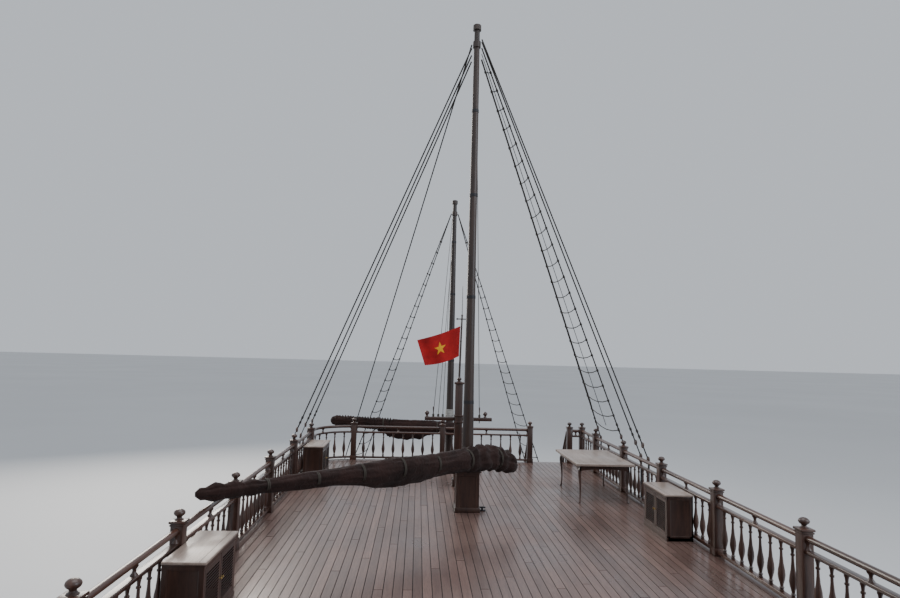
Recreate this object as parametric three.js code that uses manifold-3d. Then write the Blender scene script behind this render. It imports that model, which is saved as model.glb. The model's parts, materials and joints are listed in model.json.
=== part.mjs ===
// A wooden cruise junk with two masts, their sails furled: a decked hull with a long deckhouse, a
// railed sun deck over it, a raised saloon at the stern and a low foredeck with its own mast.
// Millimetres, +Z up, the bow towards +Y, starboard towards +X. The origin lies on the centreline
// at the waterline, almost amidships.
import * as THREE from 'three';
import { mergeVertices } from 'three/addons/utils/BufferGeometryUtils.js';
import Module from 'manifold-3d';

const wasm = await Module();
wasm.setup();
const { Manifold, Mesh: SolidMesh } = wasm;

// Driving dimensions
const GAP = 0.3;              // what touches keeps this much air
const RUNNING = 8;            // clearance round what moves
const MAIN_DECK = 1600;
const SUN_DECK = 3900;
const POOP_DECK = 5150;
const DECK_THICK = 80;
const PLANK = 40;
const WALL = 60;
const BULWARK = 80;

const HOUSE = { side: 2950, aft: -10600, front: 5300 };
const SUN = { side: 3720, aft: -10600, front: 5780, corner: 950 };
const POOP_AFT = -14150;

// Sun-deck rail
const RAIL_X = 3586;
const ROW_0 = -4230;          // the post row that the other rows are counted from
const ROW_STEP = 2137;
const FAR_RAIL_Y = 5670;
const STAIR = { port: 2140, starboard: 3240, run: 1700, steps: 9 };
const POST = { size: 140, height: 980, finial: 1100 };
const HANDRAIL = { top: 910, radius: 37 };
const LOWER_RAIL = { top: 750, height: 45, width: 90 };
const FOOT_RAIL = { top: 90, height: 50, width: 90 };
// A full bay of rail has its balusters at nine equal spaces; a shorter one keeps about the same step
const BAY = { full: 1800, spaces: 9, step: 245 };

const MAIN_MAST = { y: 400, top: 13390, foot: SUN_DECK, low: 105, high: 55, boom: 4900 };
const FORE_MAST = { y: 7200, top: 11500, foot: MAIN_DECK, low: 130, high: 60, boom: 4640 };
const SHROUD_R = 14;

// Hull stations. y: place; b: half-beam at the sheer; w: half-beam at the water;
// k: underside of the body; s: sheer height
const STATIONS = [
  { y: -14200, b: 3000, w: 1500, k: 520, s: 3300 },
  { y: -13000, b: 3300, w: 2350, k: 170, s: 2900 },
  { y: -12000, b: 3450, w: 2750, k: -90, s: 2650 },
  { y: -10600, b: 3600, w: 3100, k: -520, s: 2450 },
  { y: -6000, b: 3680, w: 3450, k: -1050, s: 2350 },
  { y: -1000, b: 3720, w: 3550, k: -1150, s: 2330 },
  { y: 4000, b: 3680, w: 3400, k: -1100, s: 2370 },
  { y: 7300, b: 3540, w: 2800, k: -850, s: 2450 },
  { y: 9500, b: 2900, w: 1800, k: -400, s: 2550 },
  { y: 11200, b: 1950, w: 950, k: 200, s: 2610 },
  { y: 12400, b: 950, w: 380, k: 1000, s: 2635 },
  { y: 12900, b: 300, w: 200, k: 1500, s: 2640 },
];
const KEEL = { half: 120, bottom: -1400, aft: -11000, sole: -12700, soleTop: -1300 };
// The forefoot and stem in side view, from the keel's fore end to the stem head
const STEM = [
  [7600, -1400], [9600, -900], [11300, -60], [12500, 820], [13000, 1500], [13180, 2300], [13200, 2640],
];

const ship = new THREE.Group();

// Finishes
const finish = (color, roughness, metalness = 0) => (
  new THREE.MeshStandardMaterial({ color, roughness, metalness }));
const HULL_PAINT = finish(0x4a2a1c, 0.55);
const DECK_WOOD = finish(0x6b4434, 0.35);
const WALL_WOOD = finish(0x5a3322, 0.5);
const RAIL_WOOD = finish(0x3c2218, 0.4);
const MAST_WOOD = finish(0x2e211b, 0.6);
const SAIL_CLOTH = finish(0x2a1a17, 0.9);
const ROPE = finish(0x1c1a19, 0.8);
const FLAG_CLOTH = finish(0x8e2226, 0.85);
const BRONZE = finish(0x8a6a38, 0.4, 0.9);
const DARK_IRON = finish(0x2b2b2d, 0.6, 0.8);

// A closed three.js geometry as a solid
function solid(geometry) {
  const bare = geometry.index ? geometry.toNonIndexed() : geometry.clone();
  for (const name of Object.keys(bare.attributes)) {
    if (name !== 'position') bare.deleteAttribute(name);
  }
  const merged = mergeVertices(bare, 1e-3);
  return new Manifold(new SolidMesh({
    numProp: 3,
    vertProperties: new Float32Array(merged.attributes.position.array),
    triVerts: new Uint32Array(merged.index.array),
  }));
}

const union = (list) => list.reduce((sum, next) => sum.add(next));
const cut = (body, list) => list.reduce((rest, next) => rest.subtract(next), body);

function node(name, body, material) {
  const raw = body.getMesh();
  const geometry = new THREE.BufferGeometry();
  geometry.setAttribute('position', new THREE.BufferAttribute(new Float32Array(raw.vertProperties), 3));
  geometry.setIndex(new THREE.BufferAttribute(new Uint32Array(raw.triVerts), 1));
  geometry.computeVertexNormals();
  const mesh = new THREE.Mesh(geometry, material);
  mesh.name = name;
  ship.add(mesh);
}

// A box between two corners
function box(x0, x1, y0, y1, z0, z1) {
  const shape = new THREE.BoxGeometry(Math.abs(x1 - x0), Math.abs(y1 - y0), Math.abs(z1 - z0));
  shape.translate((x0 + x1) / 2, (y0 + y1) / 2, (z0 + z1) / 2);
  return solid(shape);
}

// A box about a point on the floor below it
const block = (x, y, z0, z1, sx, sy = sx) => box(x - sx / 2, x + sx / 2, y - sy / 2, y + sy / 2, z0, z1);

// A plan outline raised from one height to another
function slab(points, z0, z1) {
  const shape = new THREE.Shape(points.map(([x, y]) => new THREE.Vector2(x, y)));
  const plate = new THREE.ExtrudeGeometry(shape, { depth: z1 - z0, bevelEnabled: false });
  plate.translate(0, 0, z0);
  return solid(plate);
}

// A side-view outline of (y, z) points, as thick as x0 to x1
function sideSlab(points, x0, x1) {
  const shape = new THREE.Shape(points.map(([y, z]) => new THREE.Vector2(y, z)));
  const plate = new THREE.ExtrudeGeometry(shape, { depth: x1 - x0, bevelEnabled: false });
  plate.applyMatrix4(new THREE.Matrix4().set(0, 0, 1, x0, 1, 0, 0, 0, 0, 1, 0, 0, 0, 0, 0, 1));
  return solid(plate);
}

// A round bar from a to b, its radius falling from r0 to r1
function bar(a, b, r0, r1 = r0, sides = 8) {
  const from = new THREE.Vector3(...a);
  const to = new THREE.Vector3(...b);
  const along = to.clone().sub(from);
  const shape = new THREE.CylinderGeometry(r1, r0, along.length(), sides);
  shape.translate(0, along.length() / 2, 0);
  const turn = new THREE.Quaternion().setFromUnitVectors(new THREE.Vector3(0, 1, 0), along.normalize());
  shape.applyQuaternion(turn);
  shape.translate(...a);
  return solid(shape);
}

// A turned piece standing at (x, y, z). profile: [radius, height] pairs
function turned(x, y, z, profile, sides) {
  const shape = new THREE.LatheGeometry(profile.map(([r, h]) => new THREE.Vector2(r, h)), sides);
  shape.rotateX(Math.PI / 2);
  shape.rotateZ(Math.PI / sides);
  shape.translate(x, y, z);
  return solid(shape);
}

// Triangles over a flat upright ring, which may be hollow in outline; each turns as the ring does
function capFaces(ring) {
  const reach = ([x, y]) => Math.hypot(x - ring[0][0], y - ring[0][1]);
  const far = ring.reduce((best, point) => (reach(point) > reach(best) ? point : best));
  const [ux, uy] = [(far[0] - ring[0][0]) / reach(far), (far[1] - ring[0][1]) / reach(far)];
  const flat = ring.map(([x, y, z]) => new THREE.Vector2((x - ring[0][0]) * ux + (y - ring[0][1]) * uy, z));
  const turn = THREE.ShapeUtils.isClockWise(flat);
  const faces = THREE.ShapeUtils.triangulateShape(flat, []);
  return faces.map(([a, b, c]) => {
    const clockwise = THREE.ShapeUtils.isClockWise([flat[a], flat[b], flat[c]]);
    return clockwise === turn ? [a, b, c] : [a, c, b];
  });
}

// A body lofted through rings that all have the same count of points
function loft(rings) {
  const count = rings[0].length;
  const points = rings.flat();
  const faces = [];
  for (let r = 0; r < rings.length - 1; r += 1) {
    for (let i = 0; i < count; i += 1) {
      const a = r * count + i;
      const b = r * count + ((i + 1) % count);
      faces.push([a, b, b + count], [a, b + count, a + count]);
    }
  }
  const last = (rings.length - 1) * count;
  faces.push(...capFaces(rings[0]).map(([a, b, c]) => [a, c, b]));
  faces.push(...capFaces(rings.at(-1)).map((face) => face.map((i) => last + i)));
  // The sum of the corners' box products is six times the volume: below zero, the faces look inwards
  const [p, q, r] = [new THREE.Vector3(), new THREE.Vector3(), new THREE.Vector3()];
  const volume = faces.reduce((sum, [a, b, c]) => (
    sum + p.fromArray(points[a]).dot(q.fromArray(points[b]).cross(r.fromArray(points[c])))), 0);
  const outward = volume > 0 ? faces : faces.map(([a, b, c]) => [a, c, b]);
  const shape = new THREE.BufferGeometry();
  const places = outward.flat().flatMap((i) => points[i]);
  shape.setAttribute('position', new THREE.Float32BufferAttribute(places, 3));
  return solid(shape);
}

// What the stations say at any place along the ship
function hullAt(y, key) {
  const i = STATIONS.findIndex((station) => station.y >= y);
  if (i <= 0) return STATIONS[i === 0 ? 0 : STATIONS.length - 1][key];
  const [a, b] = [STATIONS[i - 1], STATIONS[i]];
  return a[key] + ((b[key] - a[key]) * (y - a.y)) / (b.y - a.y);
}

// Hull: a flat bottom over the keel, a round bilge, a flaring side, the wale that stands out along it
// at the main deck, and the bulwark up to the sheer
const FLAT = 150;
const WALE = { out: 70, low: 1350, high: 1570, bevel: 40 };
function hullRing({ y, b, w, k, s }) {
  const low = Math.max(k, 0);
  const half = [
    [FLAT, k],
    [Math.max(FLAT + 10, w * 0.6), k + 180],
    [Math.max(FLAT + 20, w * 0.93), k + (low - k) * 0.55 + 280],
    [Math.max(FLAT + 30, w * 1.02), low + 420],
    [b, Math.max(low + 800, WALE.low)],
    [b + WALE.out, Math.max(low + 830, WALE.low + WALE.bevel)],
    [b + WALE.out, Math.max(low + 930, WALE.high - WALE.bevel)],
    [b, Math.max(low + 960, WALE.high)],
    [b, s],
  ];
  return [...half.map(([x, z]) => [-x, y, z]).reverse(), ...half.map(([x, z]) => [x, y, z])];
}

// The well between the bulwarks ends aft of the solid bow
const WELL_END = 11700;
const insideStations = STATIONS.filter(({ y }) => y > POOP_AFT && y < WELL_END);
function wellRing({ y, b, s }) {
  const x = b - BULWARK;
  return [[-x, y, s + 400], [-x, y, MAIN_DECK - PLANK], [x, y, MAIN_DECK - PLANK], [x, y, s + 400]];
}

const wellStation = (y) => ({ y, b: hullAt(y, 'b'), s: hullAt(y, 's') });
const wellAft = wellStation(POOP_AFT + BULWARK);
const wellFore = wellStation(WELL_END);
const well = loft([wellAft, ...insideStations, wellFore].map(wellRing));

const RUDDER_Y = -12500;
const RUDDER_PORT = -60;      // underside of the boss that the rudder stock comes out of
const rudderBoss = block(0, RUDDER_Y, RUDDER_PORT, 400, 260, 300);
node('hull', cut(loft(STATIONS.map(hullRing)).add(rudderBoss), [well]), HULL_PAINT);

// Keel, sole under the propeller, forefoot and stem: one backbone that follows the hull's underside
const bow = STATIONS.at(-1);
const underside = STATIONS.filter(({ y }) => y > KEEL.aft).reverse()
  .map(({ y, k }) => [y === bow.y ? y + GAP : y, k - GAP]);
node('keel', sideSlab([
  [KEEL.aft, hullAt(KEEL.aft, 'k') - GAP], [KEEL.aft, KEEL.soleTop], [KEEL.sole, KEEL.soleTop],
  [KEEL.sole, KEEL.bottom], ...STEM, [bow.y + GAP, bow.s], ...underside,
], -KEEL.half, KEEL.half), HULL_PAINT);

// Main deck: one planked floor from the stern to the bow, with the mooring bitts on it
const deckLine = [wellAft, ...insideStations, wellFore].map(({ y }) => [hullAt(y, 'b') - BULWARK - GAP, y]);
const deckOutline = [...deckLine, ...deckLine.map(([x, y]) => [-x, y]).reverse()];
deckOutline[0][1] += GAP;
deckOutline[deckLine.length - 1][1] -= GAP;
deckOutline[deckLine.length][1] -= GAP;
deckOutline[deckOutline.length - 1][1] += GAP;
const deckFloor = slab(deckOutline, MAIN_DECK - PLANK + GAP, MAIN_DECK);
const BITT = {
  x: 1500, y: 9700, apart: 170, size: 130, height: 480, bar: 45, reach: 330, low: 300, high: 390,
};
const bitts = [-BITT.x, BITT.x].flatMap((x) => [
  block(x, BITT.y - BITT.apart, MAIN_DECK - 20, MAIN_DECK + BITT.height, BITT.size),
  block(x, BITT.y + BITT.apart, MAIN_DECK - 20, MAIN_DECK + BITT.height, BITT.size),
  box(x - BITT.bar, x + BITT.bar, BITT.y - BITT.reach, BITT.y + BITT.reach,
    MAIN_DECK + BITT.low, MAIN_DECK + BITT.high),
]);
node('main_deck', union([deckFloor, ...bitts]), DECK_WOOD);

// A cap on each bulwark, following the sheer up to the stem's shoulder
const SIDES = [['port', -1], ['starboard', 1]];
const CAP = { inward: 40, outward: 50, thick: 60 };
for (const [side, sign] of SIDES) {
  const rings = STATIONS.filter(({ y }) => y < bow.y).map(({ y, b, s }) => {
    const [inner, outer] = [sign * (b - BULWARK - CAP.inward), sign * (b + CAP.outward)];
    const [low, high] = [s + GAP, s + GAP + CAP.thick];
    return [[inner, y, low], [outer, y, low], [outer, y, high], [inner, y, high]];
  });
  node(`cap_rail_${side}`, loft(rings), RAIL_WOOD);
}
const CAP_TOP = CAP.thick + 2 * GAP;

// Deckhouse walls, each as thick as the real panelling, with window and door openings
const HEAD = SUN_DECK - DECK_THICK - GAP;      // underside of the sun deck
const CUT = 9;                                 // how far a cutting tool reaches past what it cuts
const WINDOW = { width: 1150, low: 2350, high: 3300, first: 1600, step: 1560, count: 8 };
const DOOR_TOP = 3560;
const LIGHT = { low: 2500, high: 3350 };       // the glazed upper part of each door
const SIDE_DOOR = { y: 3250, width: 760, lap: 30, thick: 40, light: 460 };
const windowRows = Array.from({ length: WINDOW.count }, (_, i) => WINDOW.first - i * WINDOW.step);
for (const [side, sign] of SIDES) {
  const [x0, x1] = sign > 0 ? [HOUSE.side - WALL, HOUSE.side] : [-HOUSE.side, -HOUSE.side + WALL];
  const wall = box(x0, x1, HOUSE.aft + GAP, HOUSE.front, MAIN_DECK + GAP, HEAD);
  const through = (y, width, low, high) => box(x0 - CUT, x1 + CUT, y - width / 2, y + width / 2, low, high);
  const windows = windowRows.map((y) => through(y, WINDOW.width, WINDOW.low, WINDOW.high));
  const doorway = through(SIDE_DOOR.y, SIDE_DOOR.width, MAIN_DECK - CUT, DOOR_TOP);
  node(`house_${side}`, cut(wall, [...windows, doorway]), WALL_WOOD);

  // The side door slides aft along the inside of its wall, which it laps all round
  const outer = sign * (HOUSE.side - WALL - RUNNING);
  const inner = outer - sign * SIDE_DOOR.thick;
  const half = SIDE_DOOR.width / 2 + SIDE_DOOR.lap;
  const leaf = box(outer, inner, SIDE_DOOR.y - half, SIDE_DOOR.y + half,
    MAIN_DECK + GAP, DOOR_TOP + SIDE_DOOR.lap);
  const light = box(outer + sign * CUT, inner - sign * CUT,
    SIDE_DOOR.y - SIDE_DOOR.light / 2, SIDE_DOOR.y + SIDE_DOOR.light / 2, LIGHT.low, LIGHT.high);
  node(`side_door_${side}`, leaf.subtract(light), WALL_WOOD);
}

// Front wall with a double doorway on the centreline
const FRONT_DOOR = { half: 720, thick: 45, meeting: 7, stile: 150, pullX: 80, pullZ: 2350 };
const FRONT_WINDOWS = [[-2350, -1150], [1150, 2000]];
const inWall = HOUSE.side - WALL - GAP;
const frontWall = box(-inWall, inWall, HOUSE.front - WALL, HOUSE.front, MAIN_DECK + GAP, HEAD);
const frontCut = (x0, x1, low, high) => box(x0, x1, HOUSE.front - WALL - CUT, HOUSE.front + CUT, low, high);
node('house_front', cut(frontWall, [
  frontCut(-FRONT_DOOR.half, FRONT_DOOR.half, MAIN_DECK - CUT, DOOR_TOP),
  ...FRONT_WINDOWS.map(([x0, x1]) => frontCut(x0, x1, WINDOW.low, WINDOW.high)),
]), WALL_WOOD);
for (const [side, sign] of SIDES) {
  const hinge = sign * (FRONT_DOOR.half - RUNNING);
  const face = HOUSE.front - RUNNING;
  const back = face - FRONT_DOOR.thick;
  const leaf = box(sign * FRONT_DOOR.meeting, hinge, back, face, MAIN_DECK + GAP, DOOR_TOP - RUNNING);
  const light = box(sign * FRONT_DOOR.stile, hinge - sign * FRONT_DOOR.stile, back - CUT, face + CUT,
    LIGHT.low, LIGHT.high);
  const pullX = sign * FRONT_DOOR.pullX;
  const pull = bar([pullX, face - 5, FRONT_DOOR.pullZ], [pullX, face + 60, FRONT_DOOR.pullZ], 18, 24, 8);
  node(`front_door_${side}`, union([leaf.subtract(light), pull]), WALL_WOOD);
}

// Saloon at the stern, half a storey higher than the sun deck
const POOP_HEAD = POOP_DECK - DECK_THICK - GAP;
const SALOON_IN = 60;         // the saloon's sides stand this far inside the bulwark
const SALOON_DOOR = 600;      // half-width of the doorway
// half: half-width of each window; low, high: its sill and head; at: their places across or along
const FRONT_LIGHTS = { half: 450, low: 4250, high: 4850, at: [-2100, -700, 700, 2100] };
const SIDE_LIGHTS = { half: 500, low: 3750, high: 4650, at: [-11500, -13100] };
const AFT_LIGHTS = { half: 420, low: 3650, high: 4650, at: [-1800, -600, 600, 1800] };
const saloonX = (y) => hullAt(y, 'b') - BULWARK - SALOON_IN;
const saloonFront = box(-HOUSE.side, HOUSE.side, HOUSE.aft - WALL, HOUSE.aft, MAIN_DECK + GAP, POOP_HEAD);
const saloonCut = (x0, x1, low, high) => box(x0, x1, HOUSE.aft - WALL - CUT, HOUSE.aft + CUT, low, high);
node('saloon_front', cut(saloonFront, [
  saloonCut(-SALOON_DOOR, SALOON_DOOR, MAIN_DECK - CUT, DOOR_TOP),
  ...FRONT_LIGHTS.at.map((x) => (
    saloonCut(x - FRONT_LIGHTS.half, x + FRONT_LIGHTS.half, FRONT_LIGHTS.low, FRONT_LIGHTS.high))),
]), WALL_WOOD);
for (const [side, sign] of SIDES) {
  const line = [HOUSE.aft - WALL - GAP, -12000, -13000, POOP_AFT + BULWARK + WALL + 2 * GAP];
  const outer = line.map((y) => [sign * saloonX(y), y]);
  const inner = line.map((y) => [sign * (saloonX(y) - WALL), y]).reverse();
  const wall = slab([...outer, ...inner], MAIN_DECK + GAP, POOP_HEAD);
  const windows = SIDE_LIGHTS.at.map((y) => box(sign * (saloonX(y) - 200), sign * (saloonX(y) + 200),
    y - SIDE_LIGHTS.half, y + SIDE_LIGHTS.half, SIDE_LIGHTS.low, SIDE_LIGHTS.high));
  node(`saloon_${side}`, cut(wall, windows), WALL_WOOD);
}
const aftX = saloonX(POOP_AFT + BULWARK) - 5;
const saloonAftY = POOP_AFT + BULWARK + GAP;
const saloonAft = box(-aftX, aftX, saloonAftY, saloonAftY + WALL, MAIN_DECK + GAP, POOP_HEAD);
const aftWindows = AFT_LIGHTS.at.map((x) => box(x - AFT_LIGHTS.half, x + AFT_LIGHTS.half,
  POOP_AFT, POOP_AFT + 300, AFT_LIGHTS.low, AFT_LIGHTS.high));
node('saloon_aft', cut(saloonAft, aftWindows), WALL_WOOD);
// The wings close the saloon's front beside the deckhouse, over the side decks' ends
for (const [side, sign] of SIDES) {
  const x0 = sign * (HOUSE.side + GAP);
  const x1 = sign * (saloonX(HOUSE.aft) - WALL - GAP);
  const wing = box(x0, x1, HOUSE.aft - WALL, HOUSE.aft, MAIN_DECK + GAP, POOP_HEAD);
  node(`saloon_wing_${side}`, wing, WALL_WOOD);
}

// Sun deck: port bow corner rounded, the starboard one square beside the stairs, with a deep edge board
function sunOutline(inset) {
  const side = SUN.side - inset;
  const front = SUN.front - inset;
  const radius = SUN.corner - inset;
  const points = [[side, SUN.aft + GAP], [side, front]];
  for (let i = 0; i <= 6; i += 1) {
    const a = Math.PI / 2 + (i * Math.PI) / 12;
    points.push([-side + radius + radius * Math.cos(a), front - radius + radius * Math.sin(a)]);
  }
  points.push([-side, SUN.aft + GAP]);
  return points;
}
const FASCIA = { height: 160, thick: 60 };
const sunUnder = SUN_DECK - DECK_THICK;
const sunFloor = slab(sunOutline(0), sunUnder, SUN_DECK);
const insideFascia = sunOutline(FASCIA.thick).map(([x, y]) => [x, y === SUN.aft + GAP ? y - CUT : y]);
const fascia = slab(sunOutline(0), sunUnder - FASCIA.height, sunUnder + 5)
  .subtract(slab(insideFascia, sunUnder - FASCIA.height - CUT, sunUnder));
node('sun_deck', union([sunFloor, fascia]), DECK_WOOD);

// Posts that carry the sun deck's edge, with a beam along their heads
const rowY = (k) => ROW_0 + k * ROW_STEP;
const EDGE_BEAM = { aft: -10400, front: 4500, half: 50, deep: 150 };
const EDGE_POST = 100;
for (const [side, sign] of SIDES) {
  const x = sign * (SUN.side - FASCIA.thick - GAP - EDGE_BEAM.half);
  const beam = box(x - EDGE_BEAM.half, x + EDGE_BEAM.half, EDGE_BEAM.aft, EDGE_BEAM.front,
    HEAD - EDGE_BEAM.deep, HEAD);
  const posts = [-2.8, -2, -1, 0, 1, 2, 3, 4].map(rowY).map((y) => (
    block(x, y, hullAt(y, 's') + CAP_TOP + 12, HEAD - EDGE_BEAM.deep / 2, EDGE_POST)));
  node(`side_posts_${side}`, union([beam, ...posts]), RAIL_WOOD);
}

// Turned pieces in a few flat facets, as [radius, height] pairs; heights of a baluster and a spindle
// are shares of the space that they fill
const BALUSTER = [[0, 0], [30, 0], [46, 0.34], [26, 1], [0, 1]];
const SPINDLE = [[0, 0], [34, 0], [20, 0.48], [34, 1], [0, 1]];
const FINIAL = [[0, -10], [52, -10], [26, 30], [58, 70], [48, 112], [0, 122]];
const SUNK = 10;              // how far a turned piece goes into what holds it
const fill = (profile, low, high) => profile.map(([r, t]) => [r, low - SUNK + t * (high - low + 2 * SUNK)]);

function post(x, y, deck, size = POST.size) {
  return union([
    block(x, y, deck + GAP, deck + POST.height, size),
    turned(x, y, deck + POST.height, FINIAL, 8),
  ]);
}

// One straight run of rail between two points on a deck, with its balusters
function railRun([xa, ya], [xb, yb], deck) {
  const length = Math.hypot(xb - xa, yb - ya);
  const dir = [(xb - xa) / length, (yb - ya) / length];
  const square = (top, height, width) => {
    const [nx, ny] = [(-dir[1] * width) / 2, (dir[0] * width) / 2];
    const ring = [[xa - nx, ya - ny], [xb - nx, yb - ny], [xb + nx, yb + ny], [xa + nx, ya + ny]];
    return slab(ring, deck + top - height, deck + top);
  };
  const grip = deck + HANDRAIL.top - HANDRAIL.radius;
  const parts = [
    bar([xa, ya, grip], [xb, yb, grip], HANDRAIL.radius, HANDRAIL.radius, 6),
    square(LOWER_RAIL.top, LOWER_RAIL.height, LOWER_RAIL.width),
    square(FOOT_RAIL.top, FOOT_RAIL.height, FOOT_RAIL.width),
  ];
  const bays = length > BAY.full ? BAY.spaces : Math.max(1, Math.round(length / BAY.step));
  const at = (share) => [xa + dir[0] * length * share, ya + dir[1] * length * share, deck];
  const stem = fill(BALUSTER, FOOT_RAIL.top, LOWER_RAIL.top - LOWER_RAIL.height);
  for (let i = 1; i < bays; i += 1) parts.push(turned(...at(i / bays), stem, 4));
  parts.push(turned(...at(0.5), fill(SPINDLE, LOWER_RAIL.top, HANDRAIL.top - 2 * HANDRAIL.radius), 6));
  return union(parts);
}

function railAlong(corners, deck, withPost = () => true) {
  const parts = [];
  for (let i = 0; i < corners.length - 1; i += 1) parts.push(railRun(corners[i], corners[i + 1], deck));
  corners.forEach(([x, y], i) => {
    if (withPost(i)) parts.push(post(x, y, deck));
  });
  return union(parts);
}

const sideRows = [-2.9, -2, -1, 0, 1, 2, 3, 4];
const cornerStart = [-RAIL_X, rowY(4)];
const cornerEnd = [-2660, FAR_RAIL_Y];
const cornerArc = [[-RAIL_X, 4780], [-3440, 5270], [-3110, 5550]];
node('sun_rail_port', railAlong(sideRows.map((k) => [-RAIL_X, rowY(k)]), SUN_DECK), RAIL_WOOD);
node('sun_rail_starboard', railAlong([
  ...sideRows.map((k) => [RAIL_X, rowY(k)]), [RAIL_X, FAR_RAIL_Y], [STAIR.starboard, FAR_RAIL_Y],
], SUN_DECK), RAIL_WOOD);
// The forward rail starts just clear of the side rail's last post and goes round the corner
const cornerGap = POST.size / 2 + 12;
node('sun_rail_forward', railAlong([
  [cornerStart[0], cornerStart[1] + cornerGap], ...cornerArc, cornerEnd,
  [-260, FAR_RAIL_Y], [STAIR.port, FAR_RAIL_Y],
], SUN_DECK, (i) => i > cornerArc.length), RAIL_WOOD);

// Stairs from the sun deck down to the foredeck, between two falling handrails
const STRING = { thick: 50, deep: 420, toe: 130 };
const STAIR_RAIL = { grip: 850, low: 600, newel: 1100, size: 110, bars: 7, bar: 44, barLength: 720 };
const rise = (SUN_DECK - MAIN_DECK) / STAIR.steps;
const tread = STAIR.run / (STAIR.steps - 1);
const stairTop = SUN.front + GAP;
const stairFoot = stairTop + STAIR.run;
const stairParts = [];
for (let i = 1; i < STAIR.steps; i += 1) {
  const z = SUN_DECK - i * rise;
  stairParts.push(box(STAIR.port + 40, STAIR.starboard - 40,
    stairTop + (i - 1) * tread + 1, stairTop + i * tread + 30, z - PLANK, z));
}
for (const x of [STAIR.port + STRING.thick / 2, STAIR.starboard - STRING.thick / 2]) {
  const newelY = stairFoot + 50;
  const drop = SUN_DECK - MAIN_DECK;
  const fall = (t, lift) => [x, stairTop + 40 + t * (STAIR.run + 10), SUN_DECK + lift - t * drop];
  stairParts.push(
    sideSlab([
      [stairTop, SUN_DECK - 20], [stairTop, SUN_DECK - STRING.deep], [stairFoot - 150, MAIN_DECK + GAP],
      [stairFoot + STRING.toe, MAIN_DECK + GAP], [stairFoot + STRING.toe, MAIN_DECK + 240],
    ], x - STRING.thick / 2, x + STRING.thick / 2),
    block(x, newelY, MAIN_DECK + GAP, MAIN_DECK + STAIR_RAIL.newel, STAIR_RAIL.size),
    turned(x, newelY, MAIN_DECK + STAIR_RAIL.newel, FINIAL, 8),
    bar(fall(0.015, STAIR_RAIL.grip), fall(1, STAIR_RAIL.grip), 35, 35, 6),
    bar(fall(0.015, STAIR_RAIL.low), fall(1, STAIR_RAIL.low), 28, 28, 6),
  );
  for (let i = 0; i < STAIR_RAIL.bars; i += 1) {
    const [bx, by, bz] = fall((i + 0.6) / (STAIR_RAIL.bars + 0.2), STAIR_RAIL.low);
    stairParts.push(block(bx, by, bz - STAIR_RAIL.barLength, bz, STAIR_RAIL.bar));
  }
}
node('stairs', union(stairParts), RAIL_WOOD);

// Poop deck over the saloon, its rail and the steps up to it
const POOP_EDGE = { aft: -14480, front: HOUSE.aft + 40, lip: 60, railIn: 110 };
const poopX = (y) => saloonX(y) + POOP_EDGE.lip;
const transom = STATIONS[0].y;
const poopLine = [
  [poopX(HOUSE.aft), POOP_EDGE.front], [poopX(-12000), -12000], [poopX(-13000), -13000],
  [poopX(transom) - POOP_EDGE.lip, POOP_EDGE.aft],
];
const poopOutline = [...poopLine, ...poopLine.map(([x, y]) => [-x, y]).reverse()];
node('poop_deck', slab(poopOutline.reverse(), POOP_DECK - DECK_THICK, POOP_DECK), DECK_WOOD);
const frontRailY = POOP_EDGE.front - 100;
const aftRailY = POOP_EDGE.aft + POOP_EDGE.railIn;
const poopRailLine = poopLine.map(([x, y]) => (
  [x - POOP_EDGE.railIn, Math.max(aftRailY, Math.min(y, frontRailY))]));
// x0, x1: the steps' sides, with a rail post beyond each; mid: a post between the steps and the port side
const STEPS = { x0: 1100, x1: 2200, count: 5, going: 260, post: 80, mid: -1200 };
node('poop_rail', railAlong([
  [STEPS.x1 + STEPS.post, frontRailY], ...poopRailLine, [0, aftRailY],
  ...poopRailLine.map(([x, y]) => [-x, y]).reverse(),
  [STEPS.mid, frontRailY], [STEPS.x0 - STEPS.post, frontRailY],
], POOP_DECK), RAIL_WOOD);
const stepRise = (POOP_DECK - SUN_DECK) / STEPS.count;
const stepBack = POOP_EDGE.front + 5;
const stepOutline = [[stepBack, SUN_DECK + GAP]];
for (let i = STEPS.count - 1; i >= 1; i -= 1) {
  const y = stepBack + i * STEPS.going;
  const z = SUN_DECK + (STEPS.count - i) * stepRise;
  stepOutline.push([y, z - stepRise + (i === STEPS.count - 1 ? GAP : 0)], [y, z]);
}
stepOutline.push([stepBack, POOP_DECK - stepRise]);
node('poop_steps', sideSlab(stepOutline, STEPS.x0, STEPS.x1), DECK_WOOD);

// Masts, each standing in a boxed step, with a cap, a band for the shrouds and a collar for the boom
const HOUND = 24;
const JAW = { half: 60, collar: 70, out: 45, wide: 25 };
const MAST_CAP = { deep: 120, low: 28, high: 22 };
const BAND = { below: 480, deep: 120 };
function mast(name, { y, top, foot, low, high, boom }, stepSize, stepHeight) {
  const step = cut(block(0, y, foot + GAP, foot + stepHeight, stepSize), [
    bar([0, y, foot - 50], [0, y, foot + stepHeight + 50], low + 6, low + 6, 16),
  ]);
  node(`${name}_mast_step`, step, RAIL_WOOD);
  const pole = bar([0, y, foot + GAP], [0, y, top - MAST_CAP.deep + 30], low, high, 12);
  const cap = bar([0, y, top - MAST_CAP.deep], [0, y, top], high + MAST_CAP.low, high + MAST_CAP.high, 12);
  const band = top - BAND.below;
  const hound = bar([0, y, band], [0, y, band + BAND.deep], high + HOUND, high + HOUND, 12);
  const seat = boom - JAW.half - GAP;
  const collar = bar([0, y, seat - JAW.half], [0, y, seat], low + JAW.collar, low + JAW.collar, 12);
  node(`${name}_mast`, union([pole, cap, hound, collar]), MAST_WOOD);
}
mast('main', MAIN_MAST, 430, 760);
mast('fore', FORE_MAST, 480, 900);

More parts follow.
